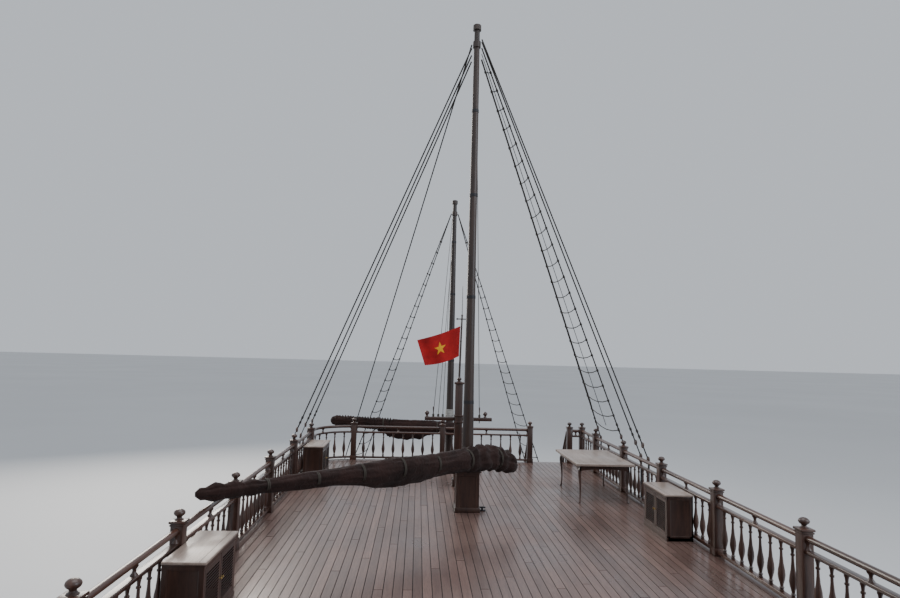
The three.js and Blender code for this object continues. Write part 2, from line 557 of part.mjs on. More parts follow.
// Shrouds: wires from a lug on the mast down to where they are made fast, in one piece per side
const LUG = { wide: 40, long: 90, below: 70, above: 50 };
function shrouds(name, { y, high }, sign, head, feet, irons) {
  const at = [sign * (high + HOUND + GAP + LUG.wide / 2), y, head];
  const lug = block(at[0], y, head - LUG.below, head + LUG.above, LUG.wide, LUG.long);
  const wires = feet.map((foot) => bar(at, foot, SHROUD_R, SHROUD_R, 6));
  node(name, union([lug, ...wires, ...irons]), ROPE);
}
const capAt = (sign, y) => [sign * (hullAt(y, 'b') - 15), y, hullAt(y, 's') + CAP_TOP + SHROUD_R + 8];

// The main shrouds come down to irons that stand up outside the sun-deck rail.
// port, starboard: places of the irons along the deck; the last port wire goes on to the bulwark
const HEAD_BELOW = 420;       // the shrouds' heads lie this far under the masthead
const IRON = {
  x: SUN.side + 16, foot: -200, top: 860, eye: 850, wide: 30, long: 60, strap: 24, low: -190, high: -130,
};
const MAIN_FEET = { port: [2600, 3700, 4700], starboard: [1080, 1500, 2460, 4360] };
const PORT_STAY_Y = 7750;
for (const [side, sign] of SIDES) {
  const feet = MAIN_FEET[side].map((y) => [sign * IRON.x, y, SUN_DECK + IRON.eye]);
  const irons = feet.map(([x, y]) => (
    block(x, y, SUN_DECK + IRON.foot, SUN_DECK + IRON.top, IRON.wide, IRON.long)));
  const [first, last] = [MAIN_FEET[side][0], MAIN_FEET[side].at(-1)];
  irons.push(box(sign * (IRON.x - IRON.strap / 2), sign * (IRON.x + IRON.strap / 2),
    first - IRON.long, last + IRON.long, SUN_DECK + IRON.low, SUN_DECK + IRON.high));
  if (side === 'port') feet.push(capAt(sign, PORT_STAY_Y));
  shrouds(`main_shrouds_${side}`, MAIN_MAST, sign, MAIN_MAST.top - HEAD_BELOW, feet, irons);
}

// The fore shrouds end on the bulwark's cap
const FORE_FEET = [8300, 9500];
for (const [side, sign] of SIDES) {
  const feet = FORE_FEET.map((y) => capAt(sign, y));
  shrouds(`fore_shrouds_${side}`, FORE_MAST, sign, FORE_MAST.top - HEAD_BELOW, feet, []);
}

// Furled sails. Each lies along its spar, whose jaws hold it to the mast
const BOOM = { low: 45, high: 35, past: 1.02, stub: 1.04 };
const BUNDLE_SIDES = 8;
// long, short: reach of the bundle each way; angle: of the long arm; tip: height of its far end;
// droop: how far the short arm's soft end hangs. rings: [share, r, belly], where share is the place
// along the long arm, or along the short one below zero, and belly is how far loose cloth hangs there
const FURLED = [
  {
    name: 'main', mast: MAIN_MAST, long: 5200, short: 1000, angle: 221, tip: 4960, thick: 210, droop: 190,
    rings: [
      [-1, 0.75, 0], [-0.5, 0.95, 0], [0, 1, 0], [0.3, 0.95, 0], [0.6, 0.62, 0], [0.85, 0.42, 0],
      [1, 0.34, 0],
    ],
  },
  {
    name: 'fore', mast: FORE_MAST, long: 3420, short: 380, angle: 181.5, tip: 4860, thick: 170, droop: 40,
    rings: [
      [-1, 0.75, 0], [-0.5, 0.95, 0], [0, 1, 0], [0.14, 1, 0], [0.26, 0.97, 200], [0.38, 0.95, 270],
      [0.5, 0.93, 190], [0.63, 0.9, 0], [0.85, 0.85, 0], [1, 0.5, 0],
    ],
  },
];
for (const { name, mast: { y, low, boom: z }, long, short, angle, tip, thick, droop, rings } of FURLED) {
  const a = (angle * Math.PI) / 180;
  const along = [Math.cos(a), Math.sin(a)];
  const off = low + thick + JAW.out;
  const aside = [-Math.sin(a), Math.cos(a)];
  const back = aside[1] < 0 ? aside : [-aside[0], -aside[1]];
  const place = (s, lift) => [along[0] * s + back[0] * off, y + along[1] * s + back[1] * off, lift];
  const lift = (s) => z + ((tip - z) * s) / long;
  const sag = (s) => (s < 0 ? droop * (s / short) ** 2 : 0);
  const bundle = rings.map(([share, r, belly]) => {
    const s = share * (share < 0 ? short : long);
    const [cx, cy, cz] = place(s, lift(s) - sag(s));
    return Array.from({ length: BUNDLE_SIDES }, (_, i) => {
      const t = (i * 2 * Math.PI) / BUNDLE_SIDES;
      const u = Math.cos(t) * r * thick;
      const loose = belly * Math.max(0, -Math.sin(t));
      return [cx + back[0] * u, cy + back[1] * u, cz + Math.sin(t) * r * thick - loose];
    });
  });
  const [stub, end] = [-short * BOOM.stub, long * BOOM.past];
  const spar = bar(place(stub, lift(stub)), place(end, lift(long) + 5), BOOM.low, BOOM.high, 8);
  const jawAt = (s, reach) => [along[0] * s + back[0] * reach, y + along[1] * s + back[1] * reach];
  const jaws = [-1, 1].map((sign) => {
    const s = sign * (low + JAW.out);
    const [p, q] = [jawAt(s - JAW.wide, off), jawAt(s + JAW.wide, off)];
    const [m, n] = [jawAt(s + JAW.wide, -low), jawAt(s - JAW.wide, -low)];
    return slab([p, q, m, n], z - JAW.half, z + JAW.half);
  });
  node(`${name}_sail`, union([loft(bundle), spar, ...jaws]), SAIL_CLOTH);
}

// Flag post with a crossbeam, near the centreline, and the staff with its flag
const FLAG_POST = {
  x: -50, y: 2500, size: 170, top: 6175, beamLow: 5320, beamHigh: 5400, half: 750, thick: 90,
};
const KNOB = [[0, 0], [50, 0], [30, 30], [56, 70], [30, 110], [0, 120]];
// x: place on the beam; r, h: radius and height. Two knobs at the beam's ends and two slim pins
const BEAM_PINS = [
  { x: -700, r: 50, h: 130 }, { x: 600, r: 50, h: 130 }, { x: -560, r: 18, h: 230 }, { x: 470, r: 18, h: 230 },
];
node('flag_post', union([
  block(FLAG_POST.x, FLAG_POST.y, SUN_DECK + GAP, FLAG_POST.top, FLAG_POST.size),
  box(FLAG_POST.x - FLAG_POST.half, FLAG_POST.x + FLAG_POST.half, FLAG_POST.y - FLAG_POST.thick / 2,
    FLAG_POST.y + FLAG_POST.thick / 2, FLAG_POST.beamLow, FLAG_POST.beamHigh),
  turned(FLAG_POST.x, FLAG_POST.y, FLAG_POST.top - 5, KNOB, 8),
  ...BEAM_PINS.map(({ x, r, h }) => turned(x, FLAG_POST.y, FLAG_POST.beamHigh - SUNK,
    [[0, 0], [r, 0], [r * 0.5, h * 0.3], [r, h * 0.7], [0, h]], 6)),
]), RAIL_WOOD);
const STAFF = { foot: FLAG_POST.top + 115 + GAP, top: 7660, footX: FLAG_POST.x, topX: -20, low: 24, high: 18 };
const AERIAL_TOP = 8340;
const staffSide = (z) => {
  const t = (z - STAFF.foot) / (STAFF.top - STAFF.foot);
  return STAFF.footX + (STAFF.topX - STAFF.footX) * t - STAFF.low - (STAFF.high - STAFF.low) * t - GAP;
};
node('flag_staff', union([
  bar([STAFF.footX, FLAG_POST.y, STAFF.foot], [STAFF.topX, FLAG_POST.y, STAFF.top],
    STAFF.low, STAFF.high, 8),
  bar([-130, FLAG_POST.y, STAFF.top - 70], [90, FLAG_POST.y, STAFF.top - 70], 14, 14, 6),
  bar([STAFF.topX, FLAG_POST.y, STAFF.top - 10], [STAFF.topX, FLAG_POST.y, AERIAL_TOP], 9, 6, 6),
]), DARK_IRON);
// The flag hangs out to port from its hoist; the two points of its fly droop
const FLAG = { thick: 12, hoistHigh: 7430, hoistLow: 6750, flyLow: [-830, 6530], flyHigh: [-1020, 7090] };
const flagShape = [
  [staffSide(FLAG.hoistHigh), FLAG.hoistHigh], [staffSide(FLAG.hoistLow), FLAG.hoistLow],
  FLAG.flyLow, FLAG.flyHigh,
];
const flagFace = new THREE.Shape(flagShape.map(([x, z]) => new THREE.Vector2(x, z)));
const flagPlate = new THREE.ExtrudeGeometry(flagFace, { depth: FLAG.thick, bevelEnabled: false });
flagPlate.rotateX(Math.PI / 2);
flagPlate.translate(0, FLAG_POST.y + FLAG.thick / 2, 0);
node('flag', solid(flagPlate), FLAG_CLOTH);

// Dining table on the starboard side
const TABLE = {
  x0: 2220, x1: 3400, y0: 910, y1: 2820, top: 790, thick: 45, apron: 90, apronLow: 160, legX: 110, legY: 150,
};
const LEG = [[0, 0], [62, 0], [50, 60], [42, 300], [70, 640], [0, 640]];
const tableTop = SUN_DECK + TABLE.top;
const tableParts = [
  box(TABLE.x0, TABLE.x1, TABLE.y0, TABLE.y1, tableTop - TABLE.thick, tableTop),
  box(TABLE.x0 + TABLE.apron, TABLE.x1 - TABLE.apron, TABLE.y0 + TABLE.apron, TABLE.y1 - TABLE.apron,
    tableTop - TABLE.apronLow, tableTop - TABLE.thick + 5),
];
for (const x of [TABLE.x0 + TABLE.legX, TABLE.x1 - TABLE.legX]) {
  for (const y of [TABLE.y0 + TABLE.legY, TABLE.y1 - TABLE.legY]) {
    tableParts.push(turned(x, y, SUN_DECK + GAP, LEG, 4));
  }
}
node('table', union(tableParts), RAIL_WOOD);

// Lockers along the rails, open in front, each with two louvred doors
const LOCKER = {
  outboard: 3510, depth: 430, height: 730, wall: 25, plinth: 80, head: 80,
  lid: 30, lip: 15, doorGap: 6, door: 24,
};
const LOUVRE = { count: 8, first: 60, step: 60, height: 22, edge: 60, deep: 14 };
// y: aft end; length: along the ship
const LOCKERS = [
  { name: 'locker_port_aft', sign: -1, y: -4850, length: 1100 },
  { name: 'locker_port_fore', sign: -1, y: 2970, length: 1050 },
  { name: 'locker_starboard', sign: 1, y: -1450, length: 1000 },
];
for (const { name, sign, y, length } of LOCKERS) {
  const outer = sign * LOCKER.outboard;
  const inner = sign * (LOCKER.outboard - LOCKER.depth);
  const z0 = SUN_DECK + GAP;
  const z1 = SUN_DECK + LOCKER.height;
  const shell = box(outer, inner, y, y + length, z0, z1 - LOCKER.lid);
  const floor = z0 + LOCKER.plinth;
  const lintel = z1 - LOCKER.head;
  const ends = [y + LOCKER.wall, y + length - LOCKER.wall];
  const hollow = box(outer - sign * LOCKER.wall, inner - sign * CUT, ...ends, floor, lintel);
  const top = box(outer + sign * 5, inner - sign * 20, y - LOCKER.lip, y + length + LOCKER.lip,
    z1 - LOCKER.lid - 1, z1);
  node(name, union([shell.subtract(hollow), top]), RAIL_WOOD);
  const middle = y + length / 2;
  const leaves = [
    ['aft', ends[0] + LOCKER.doorGap, middle - LOCKER.doorGap],
    ['fore', middle + LOCKER.doorGap, ends[1] - LOCKER.doorGap],
  ];
  for (const [hand, ya, yb] of leaves) {
    const leaf = box(inner, inner + sign * LOCKER.door, ya, yb, floor + GAP, lintel - LOCKER.doorGap);
    const slots = [];
    for (let i = 0; i < LOUVRE.count; i += 1) {
      const z = floor + LOUVRE.first + i * LOUVRE.step;
      slots.push(box(inner - sign * CUT, inner + sign * LOUVRE.deep, ya + LOUVRE.edge, yb - LOUVRE.edge,
        z, z + LOUVRE.height));
    }
    node(`${name}_door_${hand}`, leaf.subtract(union(slots)), RAIL_WOOD);
  }
}

// Windlass and anchor on the foredeck
const WINDLASS = {
  y: 10450, z: 2050, half: 520, drum: 130, cheek: 375, cheekWide: 90, cheekLong: 260, above: 200,
};
node('windlass', union([
  bar([-WINDLASS.half, WINDLASS.y, WINDLASS.z], [WINDLASS.half, WINDLASS.y, WINDLASS.z],
    WINDLASS.drum, WINDLASS.drum, 10),
  ...[-WINDLASS.cheek, WINDLASS.cheek].map((x) => (
    block(x, WINDLASS.y, MAIN_DECK + GAP, WINDLASS.z + WINDLASS.above,
      WINDLASS.cheekWide, WINDLASS.cheekLong))),
]), DARK_IRON);

const ANCHOR = {
  y: 11050, z: MAIN_DECK + 70, ring: -480, crown: 560, stock: 330, flukeIn: 210, flukeOut: 300,
};
const fluke = [
  [ANCHOR.y - 120, MAIN_DECK + GAP], [ANCHOR.y + 540, MAIN_DECK + GAP],
  [ANCHOR.y + ANCHOR.crown, ANCHOR.z], [ANCHOR.y - 60, MAIN_DECK + 40],
];
node('anchor', union([
  bar([0, ANCHOR.y + ANCHOR.ring, ANCHOR.z], [0, ANCHOR.y + ANCHOR.crown, ANCHOR.z], 34, 34, 8),
  bar([-ANCHOR.stock, ANCHOR.y + 520, ANCHOR.z], [ANCHOR.stock, ANCHOR.y + 520, ANCHOR.z], 40, 40, 8),
  sideSlab(fluke, -ANCHOR.flukeOut, -ANCHOR.flukeIn),
  sideSlab(fluke, ANCHOR.flukeIn, ANCHOR.flukeOut),
]), DARK_IRON);

// Propeller on its shaft behind the sternpost, and the rudder behind that
const PROP = {
  y: -11450, z: -790, radius: 420, hub: 90, blades: 3, root: 40, wide: 210, thick: 30, pitch: 35,
};
const shaftEnd = [0, KEEL.aft - GAP, PROP.z];
const propParts = [bar(shaftEnd, [0, PROP.y - PROP.hub, PROP.z], PROP.hub, PROP.hub * 0.5, 10)];
for (let i = 0; i < PROP.blades; i += 1) {
  const blade = new THREE.BoxGeometry(PROP.wide, PROP.thick, PROP.radius - PROP.root);
  blade.translate(0, 0, (PROP.radius + PROP.root) / 2);
  blade.rotateZ(THREE.MathUtils.degToRad(PROP.pitch));
  blade.rotateY((i * 2 * Math.PI) / PROP.blades);
  blade.translate(0, PROP.y, PROP.z);
  propParts.push(solid(blade));
}
node('propeller', union(propParts), BRONZE);
const RUDDER = {
  low: KEEL.soleTop + GAP, head: RUDDER_PORT - GAP, stock: 70, half: 40, fore: 260, aft: 950, bladeLow: -1240,
};
node('rudder', union([
  bar([0, RUDDER_Y, RUDDER.low], [0, RUDDER_Y, RUDDER.head], RUDDER.stock, RUDDER.stock, 10),
  sideSlab([
    [RUDDER_Y - RUDDER.aft + 50, RUDDER.bladeLow], [RUDDER_Y - RUDDER.aft, -150],
    [RUDDER_Y + RUDDER.fore, -250], [RUDDER_Y + RUDDER.fore, RUDDER.bladeLow],
  ], -RUDDER.half, RUDDER.half),
]), HULL_PAINT);

export default ship;
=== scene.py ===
# %% [markdown]
# # A wooden cruise junk, dressed piece by piece
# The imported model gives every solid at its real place, in metres, with the bow towards +Y. This lesson
# models what goes round it and gives each piece its finish. Pieces could be drawn freely and fitted
# afterwards, but here each one takes its place from the frame, so nothing has to be moved later.

# %% Load the frame
import json
import math
import random
import bpy
from mathutils import Matrix, Vector, noise

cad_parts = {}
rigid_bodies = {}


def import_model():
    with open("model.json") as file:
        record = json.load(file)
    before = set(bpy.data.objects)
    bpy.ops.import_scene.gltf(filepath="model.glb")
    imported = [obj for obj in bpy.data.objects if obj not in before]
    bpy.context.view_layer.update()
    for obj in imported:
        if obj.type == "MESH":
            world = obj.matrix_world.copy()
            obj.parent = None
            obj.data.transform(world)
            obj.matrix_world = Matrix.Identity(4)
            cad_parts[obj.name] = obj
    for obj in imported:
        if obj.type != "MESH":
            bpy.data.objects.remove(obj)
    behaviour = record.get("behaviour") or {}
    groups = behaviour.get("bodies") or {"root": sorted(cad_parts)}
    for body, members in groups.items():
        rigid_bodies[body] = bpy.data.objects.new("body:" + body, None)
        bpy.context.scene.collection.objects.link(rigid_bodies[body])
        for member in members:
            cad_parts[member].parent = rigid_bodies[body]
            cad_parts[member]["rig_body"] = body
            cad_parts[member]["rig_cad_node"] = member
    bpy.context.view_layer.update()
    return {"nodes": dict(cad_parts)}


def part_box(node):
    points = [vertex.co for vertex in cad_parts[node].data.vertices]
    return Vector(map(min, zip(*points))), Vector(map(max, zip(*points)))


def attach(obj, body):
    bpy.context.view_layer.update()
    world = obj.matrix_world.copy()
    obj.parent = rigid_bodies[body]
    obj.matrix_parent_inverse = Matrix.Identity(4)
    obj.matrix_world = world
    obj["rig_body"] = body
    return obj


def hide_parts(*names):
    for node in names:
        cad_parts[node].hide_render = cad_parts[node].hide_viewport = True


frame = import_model()

# %% [markdown]
# ## Driving sizes
# A shipwright works from decks, post rows and mast places. They could be measured anew for each piece,
# but the deck heights come from the frame's boxes and the rest is written once, for all cells.

# %% Decks, rails and masts
MAIN_TOP = 1.6
SUN_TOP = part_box("sun_deck")[1].z
POOP_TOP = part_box("poop_deck")[1].z
SUN_SIDE, SUN_AFT, SUN_FRONT, SUN_CORNER = 3.72, -10.6, 5.78, 0.95
RAIL_X, FAR_RAIL_Y = 3.586, 5.67
ROW_0, ROW_STEP = -4.23, 2.137
HAND_TOP, LOWER_TOP, FOOT_TOP = 0.91, 0.75, 0.09
GRIP_R = 0.037
MAIN_MAST = dict(y=0.4, top=13.39, foot=SUN_TOP, low=0.105, high=0.055, boom=4.9)
FORE_MAST = dict(y=7.2, top=11.5, foot=MAIN_TOP, low=0.13, high=0.06, boom=4.64)
SIDES = (("port", -1), ("starboard", 1))


def row_y(k):
    """The place along the deck of post row k."""
    return ROW_0 + k * ROW_STEP


print("decks at", MAIN_TOP, round(SUN_TOP, 3), round(POOP_TOP, 3))

# %% [markdown]
# ## A few moves of the hand
# Most of a wooden ship is boards, turned stems and round bars. Each could be typed in as raw points,
# but a primitive that is stretched, extruded and bevelled stays easy to change. An operator works on
# all that is selected, so every helper first deselects the rest.

# %% Select and copy
def mode(name):
    """Go into edit mode or back to object mode."""
    bpy.ops.object.mode_set(mode=name)


def only(*pieces):
    """Select only these; the last one becomes active."""
    bpy.ops.object.select_all(action="DESELECT")
    for piece in pieces:
        piece.select_set(True)
    bpy.context.view_layer.objects.active = pieces[-1]
    return pieces[-1]


def apply(piece, kind, **settings):
    """Add one modifier and apply it."""
    only(piece)
    modifier = piece.modifiers.new(kind.title(), kind)
    for key, value in settings.items():
        setattr(modifier, key, value)
    bpy.ops.object.modifier_apply(modifier=modifier.name)
    return piece


def twin(piece, at=(0, 0, 0), turn=0.0):
    """A copy with its own mesh, turned about Z and then moved."""
    copy = piece.copy()
    copy.data = piece.data.copy()
    bpy.context.collection.objects.link(copy)
    copy.matrix_world = pose(at, turn) @ piece.matrix_world
    return copy


def scrap(*pieces):
    """Throw patterns away after use."""
    for piece in pieces:
        bpy.data.objects.remove(piece)


# %% Pick faces, edges or vertices by their place
def pick(piece, test, kind="FACE"):
    """Go into edit mode with only what test(place, normal or an edge's direction) accepts selected."""
    only(piece)
    mode("EDIT")
    bpy.ops.mesh.select_mode(type=kind)
    bpy.ops.mesh.select_all(action="DESELECT")
    mode("OBJECT")
    mesh = piece.data
    if kind == "FACE":
        for face in mesh.polygons:
            face.select = bool(test(face.center, face.normal))
    elif kind == "EDGE":
        for edge in mesh.edges:
            a, b = (mesh.vertices[i].co for i in edge.vertices)
            edge.select = bool(test((a + b) / 2, (b - a).normalized()))
    else:
        for vertex in mesh.vertices:
            vertex.select = bool(test(vertex.co, vertex.normal))
    mode("EDIT")


def edit(piece):
    """Go into edit mode with the whole piece selected."""
    only(piece)
    mode("EDIT")
    bpy.ops.mesh.select_all(action="SELECT")


def draw_out(x, y, z):
    """Extrude what is selected by a step."""
    bpy.ops.mesh.extrude_region_move(TRANSFORM_OT_translate={"value": (x, y, z)})


def done():
    """Turn every face outwards and leave edit mode."""
    bpy.ops.mesh.select_all(action="SELECT")
    bpy.ops.mesh.normals_make_consistent(inside=False)
    mode("OBJECT")


def outward(piece):
    """Recalculate a piece's normals."""
    only(piece)
    mode("EDIT")
    done()
    return piece


def cut_up(piece, axis, cuts):
    """Divide a piece's edges that run along one axis."""
    pick(piece, lambda place, way: abs(way[axis]) > 0.9, "EDGE")
    bpy.ops.mesh.subdivide(number_cuts=cuts)
    mode("OBJECT")


def sink(rim, depth):
    """Inset each picked face by a rim and press it in."""
    bpy.ops.mesh.inset(thickness=rim, use_individual=True)
    bpy.ops.mesh.inset(thickness=depth, depth=-depth, use_individual=True)


# %% Boards
def board(low, high):
    """A cube stretched between two corners."""
    middle = [(a + b) / 2 for a, b in zip(low, high)]
    size = [abs(b - a) for a, b in zip(low, high)]
    bpy.ops.mesh.primitive_cube_add(size=1, location=middle, scale=size)
    bpy.ops.object.transform_apply()
    return bpy.context.object


def easy(piece, width=0.004, segments=2):
    """Ease a board's edges."""
    return apply(piece, "BEVEL", width=width, segments=segments)


def paint(piece, material):
    """Give a part its own finish."""
    piece.data.materials.clear()
    piece.data.materials.append(material)
    return piece


def plank(low, high, material, width=0.006, segments=2):
    """A board with eased edges and its own finish."""
    return paint(easy(board(low, high), width, segments), material)


# %% Rings, places and turns
def hoop(at, radius, thick, sides=16, turn=(0, 0, 0), round_of=6):
    """A ring of line or iron."""
    bpy.ops.mesh.primitive_torus_add(major_segments=sides, minor_segments=round_of, major_radius=radius,
                                     minor_radius=thick, location=at, rotation=turn)
    return bpy.context.object


def pose(at, turn=0.0, axis="Z"):
    """The matrix of a place and a turn about one axis."""
    return Matrix.Translation(at) @ Matrix.Rotation(turn, 4, axis)


def placed(piece, at, turn=0.0, axis="Z"):
    """Set a piece at a place, turned about one axis."""
    piece.matrix_world = pose(at, turn, axis)
    return piece


def moved(piece, x, y=0, z=0):
    """Move a piece's mesh under its origin."""
    piece.data.transform(Matrix.Translation((x, y, z)))
    return piece


def about(x, y, low, high, wide, long=None):
    """A board that stands about a point of the deck."""
    long = wide if long is None else long
    return board((x - wide / 2, y - long / 2, low), (x + wide / 2, y + long / 2, high))


# %% Round and sawn pieces
def bar(a, b, r0, r1=None, sides=12):
    """A round bar from a to b, tapering from r0 to r1."""
    a, b = Vector(a), Vector(b)
    turn = (b - a).to_track_quat("Z", "Y").to_euler()
    bpy.ops.mesh.primitive_cone_add(vertices=sides, radius1=r0, radius2=r0 if r1 is None else r1,
                                    depth=(b - a).length, location=(a + b) / 2, rotation=turn)
    return bpy.context.object


def turned(profile, sides=12, at=(0, 0, 0)):
    """A disc drawn up and resized ring by ring. profile: (height, radius)."""
    (z, r), *rings = profile
    bpy.ops.mesh.primitive_circle_add(vertices=sides, radius=r, fill_type="NGON", location=(0, 0, z))
    piece = bpy.context.object
    bpy.ops.object.transform_apply()
    edit(piece)
    for height, radius in rings:
        draw_out(0, 0, height - z)
        bpy.ops.transform.resize(value=(radius / r, radius / r, 1), center_override=(0, 0, height))
        z, r = height, radius
    done()
    piece.location = at
    return piece


def sawn(outline, step):
    """A flat outline of (x, y, z) points, filled and drawn out by a step."""
    bpy.ops.mesh.primitive_circle_add(vertices=len(outline), radius=1, fill_type="NGON")
    piece = bpy.context.object
    for vertex, point in zip(piece.data.vertices, outline):
        vertex.co = point
    edit(piece)
    draw_out(*step)
    done()
    return piece


# %% Finish a piece
def finish(name, parts, material, body="root", replaces=(), ease=0.0, smooth=35, segments=2):
    """Join the parts into one named piece and hand it to the frame."""
    for part in parts:
        if not part.data.materials:
            part.data.materials.append(material)
    piece = only(*parts)
    if len(parts) > 1:
        bpy.ops.object.join()
    bpy.ops.object.transform_apply(location=True, rotation=True, scale=True)
    if ease:
        apply(piece, "BEVEL", width=ease, segments=segments, limit_method="ANGLE",
              angle_limit=math.radians(40), harden_normals=False)
    bpy.ops.object.shade_smooth_by_angle(angle=math.radians(smooth))
    piece.name = piece.data.name = name
    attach(piece, body)
    if replaces:
        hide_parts(*replaces)
    print(f"{name}: {len(piece.data.polygons)} faces")
    return piece


# %% [markdown]
# ## Finishes
# Oiled hardwood shows long grain, darker pores, a tone for each board and a worn gloss. An image could
# show a real plank, but noise that is stretched along the grain, in the piece's own coordinates, has
# no seams and suits any size. One function builds it, and each wood calls it with its two tones.

# %% Node helpers
def graph(name):
    """A new material with its node tree and shader."""
    material = bpy.data.materials.new(name)
    material.use_nodes = True
    tree = material.node_tree
    return material, tree, tree.nodes["Principled BSDF"]


def wire(tree, node, inputs):
    """Set a node's inputs, or link them to sockets."""
    for key, value in inputs.items():
        if isinstance(value, bpy.types.NodeSocket):
            tree.links.new(value, node.inputs[key])
        else:
            node.inputs[key].default_value = value


def put(tree, kind, inputs=None, **settings):
    """Add one node with its properties and inputs."""
    made = tree.nodes.new(kind)
    for key, value in settings.items():
        setattr(made, key, value)
    wire(tree, made, inputs or {})
    return made


# %% Textures and arithmetic
def place_in(tree, stretch=None):
    """The piece's own coordinates, stretched where a grain needs it."""
    place = put(tree, "ShaderNodeTexCoord").outputs["Object"]
    if stretch is None:
        return place
    return put(tree, "ShaderNodeMapping", {"Vector": place, "Scale": stretch}).outputs[0]


def cloud(tree, place, scale, detail, **more):
    """The grey value of a noise texture."""
    inputs = {"Vector": place, "Scale": scale, "Detail": detail, **more}
    return put(tree, "ShaderNodeTexNoise", inputs).outputs[0]


def wave(tree, place, scale, distortion, way):
    """The grey value of a wave texture."""
    return put(tree, "ShaderNodeTexWave", {"Vector": place, "Scale": scale, "Distortion": distortion},
               bands_direction=way).outputs[0]


def reckon(tree, how, *values):
    """One step of arithmetic on sockets or numbers."""
    return put(tree, "ShaderNodeMath", dict(enumerate(values)), operation=how).outputs[0]


# %% Colours and bumps
def ramp(tree, value, stops):
    """A colour ramp through (place, colour) stops; a number is a grey."""
    made = tree.nodes.new("ShaderNodeValToRGB")
    tree.links.new(value, made.inputs["Fac"])
    points = made.color_ramp.elements
    while len(points) < len(stops):
        points.new(0.5)
    for point, (place, colour) in zip(points, stops):
        point.position = place
        point.color = (*([colour] * 3 if isinstance(colour, (int, float)) else colour), 1)
    return made.outputs["Color"]


def mix(tree, factor, a, b, how="MIX"):
    """Mix two colours or sockets."""
    made = tree.nodes.new("ShaderNodeMix")
    made.data_type, made.blend_type = "RGBA", how
    for index, value in ((0, factor), (6, a), (7, b)):
        if isinstance(value, bpy.types.NodeSocket):
            tree.links.new(value, made.inputs[index])
        else:
            made.inputs[index].default_value = value if index == 0 else (*value, 1)
    return made.outputs[2]


def shade(tree, tone, value, stops):
    """Darken or lighten a tone where a value says so."""
    return mix(tree, 1.0, tone, ramp(tree, value, stops), "MULTIPLY")


def bump(tree, height, distance, strength=0.6, under=None):
    """A bump node over another one."""
    made = put(tree, "ShaderNodeBump", {"Height": height, "Distance": distance, "Strength": strength})
    if under is not None:
        tree.links.new(under, made.inputs["Normal"])
    return made.outputs["Normal"]


# %% Wood
GRAIN = {"X": (0.7, 9, 9), "Y": (9, 0.7, 9), "Z": (9, 9, 0.7)}


def wood(name, dark, light, along="Y", gloss=0.35, coat=0.25, pores=1.0, spread=0.3):
    """Grained wood with a tone for each loose board and paler, duller worn places."""
    material, tree, shader = graph(name)
    place, grain = place_in(tree), place_in(tree, GRAIN[along])
    wide = cloud(tree, grain, 1.6, 6, Roughness=0.6, Distortion=0.9)
    fine = cloud(tree, grain, 14, 4, Roughness=0.65)
    wear = cloud(tree, place, 0.9, 5)
    each = put(tree, "ShaderNodeNewGeometry").outputs["Random Per Island"]
    between = [(a + b) / 2 for a, b in zip(dark, light)]
    tone = ramp(tree, wide, [(0.28, dark), (0.5, between), (0.74, light)])
    tone = shade(tree, tone, fine, [(0.3, 0.62), (0.55, 1.0)])
    tone = shade(tree, tone, each, [(0.0, 1 - spread), (1.0, 1 + spread)])
    tone = shade(tree, tone, wear, [(0.3, 0.82), (0.72, 1.14)])
    rough = ramp(tree, wear, [(0.3, gloss - 0.08), (0.75, gloss + 0.16)])
    wire(tree, shader, {"Base Color": tone, "Roughness": rough, "Normal": bump(tree, fine, 0.0015 * pores),
                        "Coat Weight": coat, "Coat Roughness": 0.18})
    return material


POST_TONES = (0.030, 0.013, 0.009), (0.078, 0.034, 0.022)
# the rails' tones are paler than the posts' tones: painted sheen on the rails' tops, over the same dark wood
RAIL_SHEEN_TONES = (0.036, 0.015, 0.010), (0.092, 0.040, 0.026)
WALL_TONES = (0.080, 0.030, 0.016), (0.185, 0.078, 0.042)
DECK_WOOD = wood("deck_boards", (0.112, 0.064, 0.053), (0.172, 0.106, 0.087), "Y", 0.33, 0.30, spread=0.22)
RAIL_DARK = wood("rail_wood", *POST_TONES, "Z", 0.34, 0.3)
RAIL_LONG = wood("rail_wood_along_sheen", *RAIL_SHEEN_TONES, "Y", 0.30, 0.4)
RAIL_CROSS = wood("rail_wood_across_sheen", *RAIL_SHEEN_TONES, "X", 0.30, 0.4)
MAST_DARK = wood("mast_wood", (0.016, 0.009, 0.007), (0.048, 0.026, 0.018), "Z", 0.42, 0.15)
WALL_WOOD = wood("wall_wood", *WALL_TONES, "Z", 0.38, 0.25)
WALL_EVEN = wood("wall_wood_even", *WALL_TONES, "Z", 0.38, 0.25, spread=0)
POST_EVEN = wood("post_wood_even", *POST_TONES, "Z", 0.34, 0.3, spread=0)
TRIM_WOOD = wood("trim_wood", (0.050, 0.019, 0.011), (0.115, 0.046, 0.026), "Y", 0.32, 0.35)
PALE_WOOD = wood("pale_top", (0.22, 0.165, 0.135), (0.36, 0.285, 0.24), "Y", 0.36, 0.3, spread=0.12)


# %% Paint and metal
def plain(name, colour, roughness, metallic=0.0, scale=6.0, spots=0.25, height=0.0008):
    """Paint or metal with soft blotches, a little orange peel and duller patches."""
    material, tree, shader = graph(name)
    place = place_in(tree)
    blotch, fine = cloud(tree, place, scale, 6), cloud(tree, place, scale * 22, 3)
    low, high = ([min(1, c * share) for c in colour] for share in (1 - spots, 1 + spots))
    wire(tree, shader, {"Base Color": ramp(tree, blotch, [(0.3, low), (0.7, high)]),
                        "Roughness": ramp(tree, blotch, [(0.3, roughness + 0.1), (0.7, roughness - 0.08)]),
                        "Normal": bump(tree, fine, height), "Metallic": metallic})
    return material


